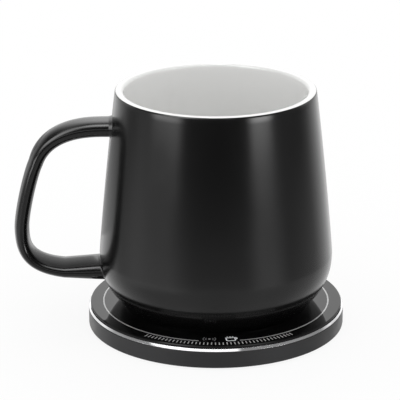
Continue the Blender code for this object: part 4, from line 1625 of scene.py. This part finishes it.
    def build_handle(self, body: Piece) -> Piece:
        """Model the handle straight, bend it along its middle line and fit its roots to the body.

        Args:
            body: The finished body, which the roots are fitted to.

        Returns:
            The handle.
        """
        rings = self.handle_rings()
        offsets = sorted({ring.offset for ring in rings if ring.offset is not None})
        handle = self.build_straight_handle(rings, offsets)
        self.bend(handle, rings)
        for group, offset in zip([group.name for group in handle.vertex_groups], offsets):
            apply_modifier(
                handle, "SHRINKWRAP", target=body, wrap_method="PROJECT", use_project_x=True,
                offset=offset, vertex_group=group,
            )
        bpy.ops.object.mode_set(mode="EDIT")
        face_outwards()
        handle.vertex_groups.clear()
        return handle

    def build_straight_handle(self, rings: Sequence[HandleRing], offsets: Sequence[float]) -> Piece:
        """Model the handle along X, with a vertex group for each distance from the body.

        Args:
            rings: Its rings.
            offsets: The distances from the body that rings of the roots keep.

        Returns:
            The handle, in object mode.
        """
        section = self.handle_section(rings[0].size)
        handle = extruded("handle", [Vector((0, across, along)) for across, along in section], Vector())
        for offset in offsets:
            handle.vertex_groups.new(name=f"{offset / MM:.3f} mm from the body")
        size = Vector(rings[0].size)
        for before, ring in zip([rings[0], *rings], rings):
            if ring is not before:
                step = Vector((math.dist(before.place, ring.place), 0, 0))
                bpy.ops.mesh.extrude_region_move(TRANSFORM_OT_translate={"value": step})
                bpy.ops.object.vertex_group_remove_from(use_all_groups=True)
            wanted = Vector(ring.size) + Vector((2 * ring.growth, 2 * ring.growth))
            bpy.ops.transform.resize(value=(1, wanted.x / size.x, wanted.y / size.y))
            size = wanted
            if ring.offset is not None:
                handle.vertex_groups.active_index = offsets.index(ring.offset)
                bpy.ops.object.vertex_group_assign()
        bpy.ops.object.mode_set(mode="OBJECT")
        return handle

    def bend(self, handle: Piece, rings: Sequence[HandleRing]) -> None:
        """Bend the straight handle along its middle line and stand it up beside the body.

        Args:
            handle: The straight handle, along X.
            rings: Its rings.
        """
        curve = bpy.data.curves.new("handle_line", "CURVE")
        spline = curve.splines.new("POLY")
        corners = [rings[0]]
        for ring in rings[1:]:
            if math.dist(ring.place, corners[-1].place) > WELD:
                corners.append(ring)
        spline.points.add(len(corners) - 1)
        for point, ring in zip(spline.points, corners):
            point.co = (*ring.place, 0, 1)
        guide = bpy.data.objects.new("handle_line", curve)
        bpy.context.scene.collection.objects.link(guide)
        apply_modifier(handle, "CURVE", object=guide, deform_axis="POS_X")
        bpy.data.objects.remove(guide)
        handle.rotation_euler.x = math.pi / 2
        handle.location.z = self.span.bottom
        bpy.ops.object.transform_apply(location=True, rotation=True, scale=True)

    def build(self) -> Piece:
        """Model the mug.

        Returns:
            The piece.
        """
        foot = self.span.bottom
        body = turned("mug_ceramic", [(radius, foot + height) for radius, height in self.outline()])
        body.data.materials.append(self.materials["black_glaze"])
        body.data.materials.append(self.materials["white_glaze"])
        self.glaze_inside(body)
        combine(body, self.build_handle(body), "UNION")
        smooth(body)
        return hand_over(
            body, Body.MUG, Slot.GLAZE, [self.materials["black_glaze"], self.materials["white_glaze"]],
            "mug_body",
        )

    def glaze_inside(self, body: Piece) -> None:
        """Give the faces of the lip and the inside the white glaze.

        Args:
            body: The ceramic body.
        """
        heel, side = self.side()
        run = heel + side[1:]
        edge = self.height - self.lip_outer_round * (1 - math.sin(math.radians(self.glaze_edge)))
        for face in body.data.polygons:
            height = face.center.z - self.span.bottom
            radius = face.center.xy.length
            outer = next((r for r, h in run if h >= height), self.rim_radius)
            above_floor = height > self.floor_height - WELD
            if height > edge or (above_floor and radius < outer - self.wall / 2):
                face.material_index = 1


@dataclass
class BaseCap:
    """The cap that closes the mug's foot."""

    materials: Materials
    span: Span = field(default_factory=lambda: span("base_cap"))
    edge_round: float = 0.3 * MM
    dish_inset: float = 8.7 * MM
    dish_depth: float = 0.3 * MM

    def build(self) -> Piece:
        """Model the cap.

        Returns:
            The piece.
        """
        radius, bottom, top = self.span.radius, self.span.bottom, self.span.top
        dish = radius - self.dish_inset
        cap = turned("foot_cap", rounded((
            (0, bottom + self.dish_depth, 0),
            (dish, bottom + self.dish_depth, self.edge_round),
            (dish + self.dish_depth, bottom, self.edge_round),
            (radius, bottom, self.edge_round),
            (radius, top, 0),
            (0, top, 0),
        ), closed=False))
        smooth(cap)
        keep_flats(cap)
        return hand_over(cap, Body.MUG, Slot.BLACK_PLASTIC, [self.materials["black_plastic"]], "base_cap")


# Studio


@dataclass(frozen=True)
class Band:
    """How bright the room is at one elevation, alike on the left and on the right.

    A stop is an angle from the front, in degrees, and the level there.
    """

    elevation: float
    stops: tuple[tuple[float, float], ...]


@dataclass(frozen=True)
class Panel:
    """A lamp panel or its glow, added to the room: its edges in degrees, how soft they are, and its level."""

    aside: tuple[float, float]
    up: tuple[float, float]
    fade_aside: float
    fade_up: float
    level: float


@dataclass(frozen=True)
class Card:
    """A grey card behind the handle that only shows in reflections, with its levels at its foot and top."""

    aside: tuple[float, float]
    behind: float
    up: tuple[float, float]
    levels: tuple[float, float]


@dataclass
class Studio:
    """White floor, soft light all round, and the panels and the card that shiny surfaces mirror."""

    bands: tuple[Band, ...] = (
        Band(-22, ((0, 0.52), (45, 0.62), (80, 0.56), (110, 0.68), (135, 1.0), (160, 1.1), (175, 0.45))),
        Band(-12, (
            (0, 0.55), (30, 0.5), (75, 0.36), (112, 0.38), (131, 0.85), (150, 1.2), (164, 1.2), (175, 0.4),
        )),
        Band(-8, (
            (0, 0.06), (75, 0.2), (102, 0.05), (116, 0.2), (131, 0.8), (150, 1.2), (164, 1.1), (175, 0.6),
        )),
        Band(-2, ((0, 0.0), (30, 0.04), (75, 0.25), (102, 0.25), (116, 0.95), (150, 1.1), (180, 1.1))),
        Band(8, ((0, 0.06), (60, 0.28), (100, 0.28), (115, 1.0), (150, 0.9), (165, 1.0), (180, 1.35))),
        Band(14, ((0, 0.26), (100, 0.28), (115, 0.95), (150, 0.9), (165, 1.1), (180, 1.4))),
        Band(24, ((0, 0.1), (60, 0.28), (100, 0.28), (115, 0.7), (150, 0.75), (165, 1.3), (180, 1.8))),
        Band(36, ((0, 0.02), (95, 0.12), (128, 0.25), (145, 0.65), (158, 1.3), (170, 2.4), (180, 2.8))),
        Band(52, ((0, 0.02), (95, 0.12), (128, 0.35), (145, 0.95), (158, 1.6), (170, 2.5), (180, 3.0))),
        Band(64, ((0, 0.05), (30, 1.0), (50, 3.0), (75, 3.0), (105, 0.8), (150, 0.9), (180, 1.6))),
        Band(71, ((0, 0.3), (30, 2.5), (60, 4.5), (95, 1.5), (130, 0.3), (180, 0.4))),
        Band(77, ((0, 7.0), (75, 4.0), (110, 0.3), (180, 0.3))),
        Band(86, ((0, 7.0), (180, 6.0))),
    )
    left_panel: Panel = Panel((-75, -41), (-3.3, 5), 8, 3.4, 4.2)
    left_glow: Panel = Panel((-96, -36), (-25, -9), 24, 6, 0.4)
    left_edge_glow: Panel = Panel((-102, -76), (-12, 3), 20, 8, 0.3)
    right_panel: Panel = Panel((36.5, 60), (-3.2, 5), 8, 3.2, 7.4)
    right_glow: Panel = Panel((36, 66), (-21, -8), 16, 6, 0.38)
    front_panel: Panel = Panel((-61, 18), (11.5, 22), 4, 2, 1.1)
    left_strip: Panel = Panel((-70, -30), (20, 60), 16, 12, 4.5)
    card: Card = Card(
        aside=(-98.0 * MM, -54.0 * MM), behind=20.0 * MM, up=(33.0 * MM, 86.0 * MM), levels=(0.72, 0.42)
    )
    floor_size: float = 8.0
    floor_own_light: float = 0.88

    @property
    def panels(self) -> tuple[Panel, ...]:
        """The panels and their glow, in the order in which they are added."""
        return (
            self.left_panel, self.left_glow, self.left_edge_glow, self.right_panel, self.right_glow,
            self.front_panel, self.left_strip,
        )

    def band_colour(self, tree: bpy.types.NodeTree, band: Band, turn: Socket) -> Socket:
        """The levels of a band, as a ramp from the front to the back.

        Args:
            tree: The world's node tree.
            band: The band.
            turn: How far from the front, as a share of half a turn.

        Returns:
            The band's colour.
        """
        ramp = new_node(tree, "ValToRGB", {0: turn})
        elements = ramp.color_ramp.elements
        elements.remove(elements[-1])
        for index, (degrees, level) in enumerate(band.stops):
            position = math.radians(degrees) / math.pi
            element = elements.new(position) if index else elements[0]
            element.position = position
            element.color = (level, level, level, 1.0)
        return ramp.outputs[0]

    @staticmethod
    def fade(
        tree: bpy.types.NodeTree, elevation: Socket, between: Point, below: Socket, above: Socket
    ) -> Socket:
        """Fade from one colour to another between two elevations.

        Args:
            tree: The node tree.
            elevation: The elevation, in radians.
            between: The two elevations, in degrees.
            below: Colour below the first one.
            above: Colour above the second one.

        Returns:
            The mixed colour.
        """
        share = new_node(tree, "MapRange", {
            "Value": elevation, "From Min": math.radians(between[0]), "From Max": math.radians(between[1]),
        })
        mix = new_node(
            tree, "Mix", {"Factor": share.outputs["Result"], "A": below, "B": above}, data_type="RGBA"
        )
        return mix.outputs["Result"]

    @staticmethod
    def add_panel(
        tree: bpy.types.NodeTree, panel: Panel, azimuth: Socket, elevation: Socket, room: Socket
    ) -> Socket:
        """Add a panel's light to that of the room.

        Args:
            tree: The world's node tree.
            panel: The panel.
            azimuth: The azimuth, in radians.
            elevation: The elevation, in radians.
            room: The colour of the room so far.

        Returns:
            The colour with the panel.
        """
        shares: list[Socket] = []
        for angle, (first, last), fade in (
            (azimuth, panel.aside, panel.fade_aside), (elevation, panel.up, panel.fade_up),
        ):
            from_middle = calculate(tree, "SUBTRACT", angle, math.radians((first + last) / 2))
            share = new_node(tree, "MapRange", {
                "Value": calculate(tree, "ABSOLUTE", from_middle),
                "From Min": math.radians((last - first + fade) / 2),
                "From Max": math.radians((last - first - fade) / 2),
            })
            shares.append(share.outputs["Result"])
        level = calculate(tree, "MULTIPLY", calculate(tree, "MULTIPLY", *shares), panel.level)
        total = new_node(
            tree, "Mix", {"Factor": 1.0, "A": room, "B": level}, data_type="RGBA", blend_type="ADD"
        )
        return total.outputs["Result"]

    def mirrored_room(self, tree: bpy.types.NodeTree) -> Socket:
        """The room as shiny surfaces mirror it: the bands, and the panels on top of them.

        Args:
            tree: The world's node tree.

        Returns:
            The room's colour.
        """
        place = new_node(tree, "TexCoord")
        parts = new_node(tree, "SeparateXYZ", {0: place.outputs["Generated"]}).outputs
        azimuth = calculate(
            tree, "ARCTAN2", parts["X"], calculate(tree, "MULTIPLY", parts["Y"], -1.0)
        )
        turn = calculate(tree, "DIVIDE", calculate(tree, "ABSOLUTE", azimuth), math.pi)
        elevation = calculate(tree, "ARCSINE", parts["Z"])
        room = self.band_colour(tree, self.bands[0], turn)
        for below, above in zip(self.bands, self.bands[1:]):
            between = (below.elevation, above.elevation)
            room = self.fade(tree, elevation, between, room, self.band_colour(tree, above, turn))
        for panel in self.panels:
            room = self.add_panel(tree, panel, azimuth, elevation, room)
        return room

    def build_world(self) -> None:
        """Light the scene evenly, and put the bands and panels where only reflections see them."""
        world = bpy.data.worlds.new("Studio")
        bpy.context.scene.world = world
        world.use_nodes = True
        world.cycles.sampling_method = "NONE"
        tree = world.node_tree
        tree.nodes.clear()
        seen = new_node(tree, "Background", {"Color": WHITE})
        mirrored = new_node(tree, "Background", {"Color": self.mirrored_room(tree)})
        rays = new_node(tree, "LightPath")
        choice = new_node(tree, "MixShader", {
            0: rays.outputs["Is Glossy Ray"], 1: seen.outputs[0], 2: mirrored.outputs[0],
        })
        new_node(tree, "OutputWorld", {"Surface": choice.outputs[0]})

    def build_floor(self) -> None:
        """A white floor that keeps a soft shadow and isn't mirrored."""
        deselect()
        bpy.ops.mesh.primitive_plane_add(size=self.floor_size, location=(0, 0, 0))
        floor = bpy.context.object
        floor.name = "studio_floor"
        floor.visible_glossy = False
        floor.data.materials.append(self.floor_material())

    def floor_material(self) -> bpy.types.Material:
        """Plain white paint that the camera sees partly lit by itself.

        Returns:
            The material.
        """
        material = bpy.data.materials.new("White floor")
        material.use_nodes = True
        tree = material.node_tree
        paint = tree.nodes["Principled BSDF"]
        feed(paint, {"Base Color": WHITE, "Roughness": 1.0, "Specular IOR Level": 0.0})
        own_light = new_node(tree, "Emission")
        rays = new_node(tree, "LightPath")
        share = calculate(tree, "MULTIPLY", rays.outputs["Is Camera Ray"], self.floor_own_light)
        blend = new_node(tree, "MixShader", {0: share, 1: paint.outputs[0], 2: own_light.outputs[0]})
        feed(tree.nodes["Material Output"], {"Surface": blend.outputs[0]})
        return material

    def build_card(self) -> None:
        """A card that darkens the bright back wall in the faces that lie low on the handle."""
        (left, right), (bottom, top) = self.card.aside, self.card.up
        deselect()
        bpy.ops.mesh.primitive_plane_add(size=1, rotation=(math.pi / 2, 0, 0))
        card = bpy.context.object
        card.name = "studio_card"
        card.scale = (right - left, top - bottom, 1)
        card.location = ((left + right) / 2, self.card.behind, (bottom + top) / 2)
        bpy.ops.object.transform_apply(location=True, rotation=True, scale=True)
        card.visible_camera = False
        card.visible_diffuse = False
        card.visible_transmission = False
        card.visible_shadow = False
        card.data.materials.append(self.card_material())

    def card_material(self) -> bpy.types.Material:
        """A grey that glows evenly at each height on the card's face, and a back that isn't there.

        Returns:
            The material.
        """
        material = bpy.data.materials.new("Studio card")
        material.use_nodes = True
        tree = material.node_tree
        tree.nodes.remove(tree.nodes["Principled BSDF"])
        place = new_node(tree, "TexCoord")
        parts = new_node(tree, "SeparateXYZ", {0: place.outputs["Object"]})
        level = new_node(tree, "MapRange", {
            "Value": parts.outputs["Z"], "From Min": self.card.up[0], "From Max": self.card.up[1],
            "To Min": self.card.levels[0], "To Max": self.card.levels[1],
        })
        face = new_node(tree, "Emission", {"Strength": level.outputs["Result"]})
        back = new_node(tree, "BsdfTransparent")
        side = new_node(tree, "NewGeometry")
        choice = new_node(tree, "MixShader", {
            0: side.outputs["Backfacing"], 1: face.outputs[0], 2: back.outputs[0],
        })
        feed(tree.nodes["Material Output"], {"Surface": choice.outputs[0]})
        return material


@dataclass(frozen=True)
class View:
    """The photograph's camera: its angles in degrees, its focal length and sensor in millimetres."""

    distance: float = 950.0 * MM
    pitch: float = 18.97
    azimuth: float = -1.8
    roll: float = -0.15
    aim_aside: float = -6.76 * MM
    aim_height: float = 55.1 * MM
    focal_length: float = 200.3
    sensor: float = 36.0

    def build(self) -> None:
        """Place the camera."""
        pitch, azimuth = math.radians(self.pitch), math.radians(self.azimuth)
        back = Vector((
            math.sin(azimuth) * math.cos(pitch), -math.cos(azimuth) * math.cos(pitch), math.sin(pitch),
        ))
        right = Vector((math.cos(azimuth), math.sin(azimuth), 0))
        up = back.cross(right)
        aim = right * self.aim_aside + Vector((0, 0, self.aim_height))
        turn = Matrix((right, up, back)).transposed() @ Matrix.Rotation(math.radians(self.roll), 3, "Z")
        data = bpy.data.cameras.new("Photograph view")
        data.lens = self.focal_length
        data.sensor_width = self.sensor
        camera = bpy.data.objects.new("Photograph view", data)
        camera.matrix_world = Matrix.Translation(aim + back * self.distance) @ turn.to_4x4()
        bpy.context.scene.collection.objects.link(camera)
        bpy.context.scene.camera = camera


def main() -> None:
    """Build every piece, the studio and the camera."""
    logging.basicConfig(level=logging.INFO, format="%(message)s", force=True)
    bpy.context.scene.view_settings.view_transform = "Standard"
    View().build()
    studio = Studio()
    studio.build_world()
    studio.build_floor()
    studio.build_card()
    materials = Palette().materials(Effects())
    socket = PowerSocket(materials)
    Housing(materials).build(socket)
    TrimRing(materials).build()
    GlassTop(materials).build()
    AntiSlipPad(materials).build()
    socket.build_shell()
    socket.build_tongue()
    socket.build_contacts()
    printing = Printing(materials)
    printing.build_circle()
    printing.build_ticks()
    printing.build_standby_mark()
    printing.build_heating_mark()
    SpiralCoil("power_coil", Body.WARMER, turns=7, wire=1.1 * MM, materials=materials).build()
    SpiralCoil("receiver_coil", Body.MUG, turns=5, wire=0.9 * MM, materials=materials).build()
    InnerPieces(materials).dress()
    Mug(materials).build()
    BaseCap(materials).build()


if __name__ == "__main__":
    main()
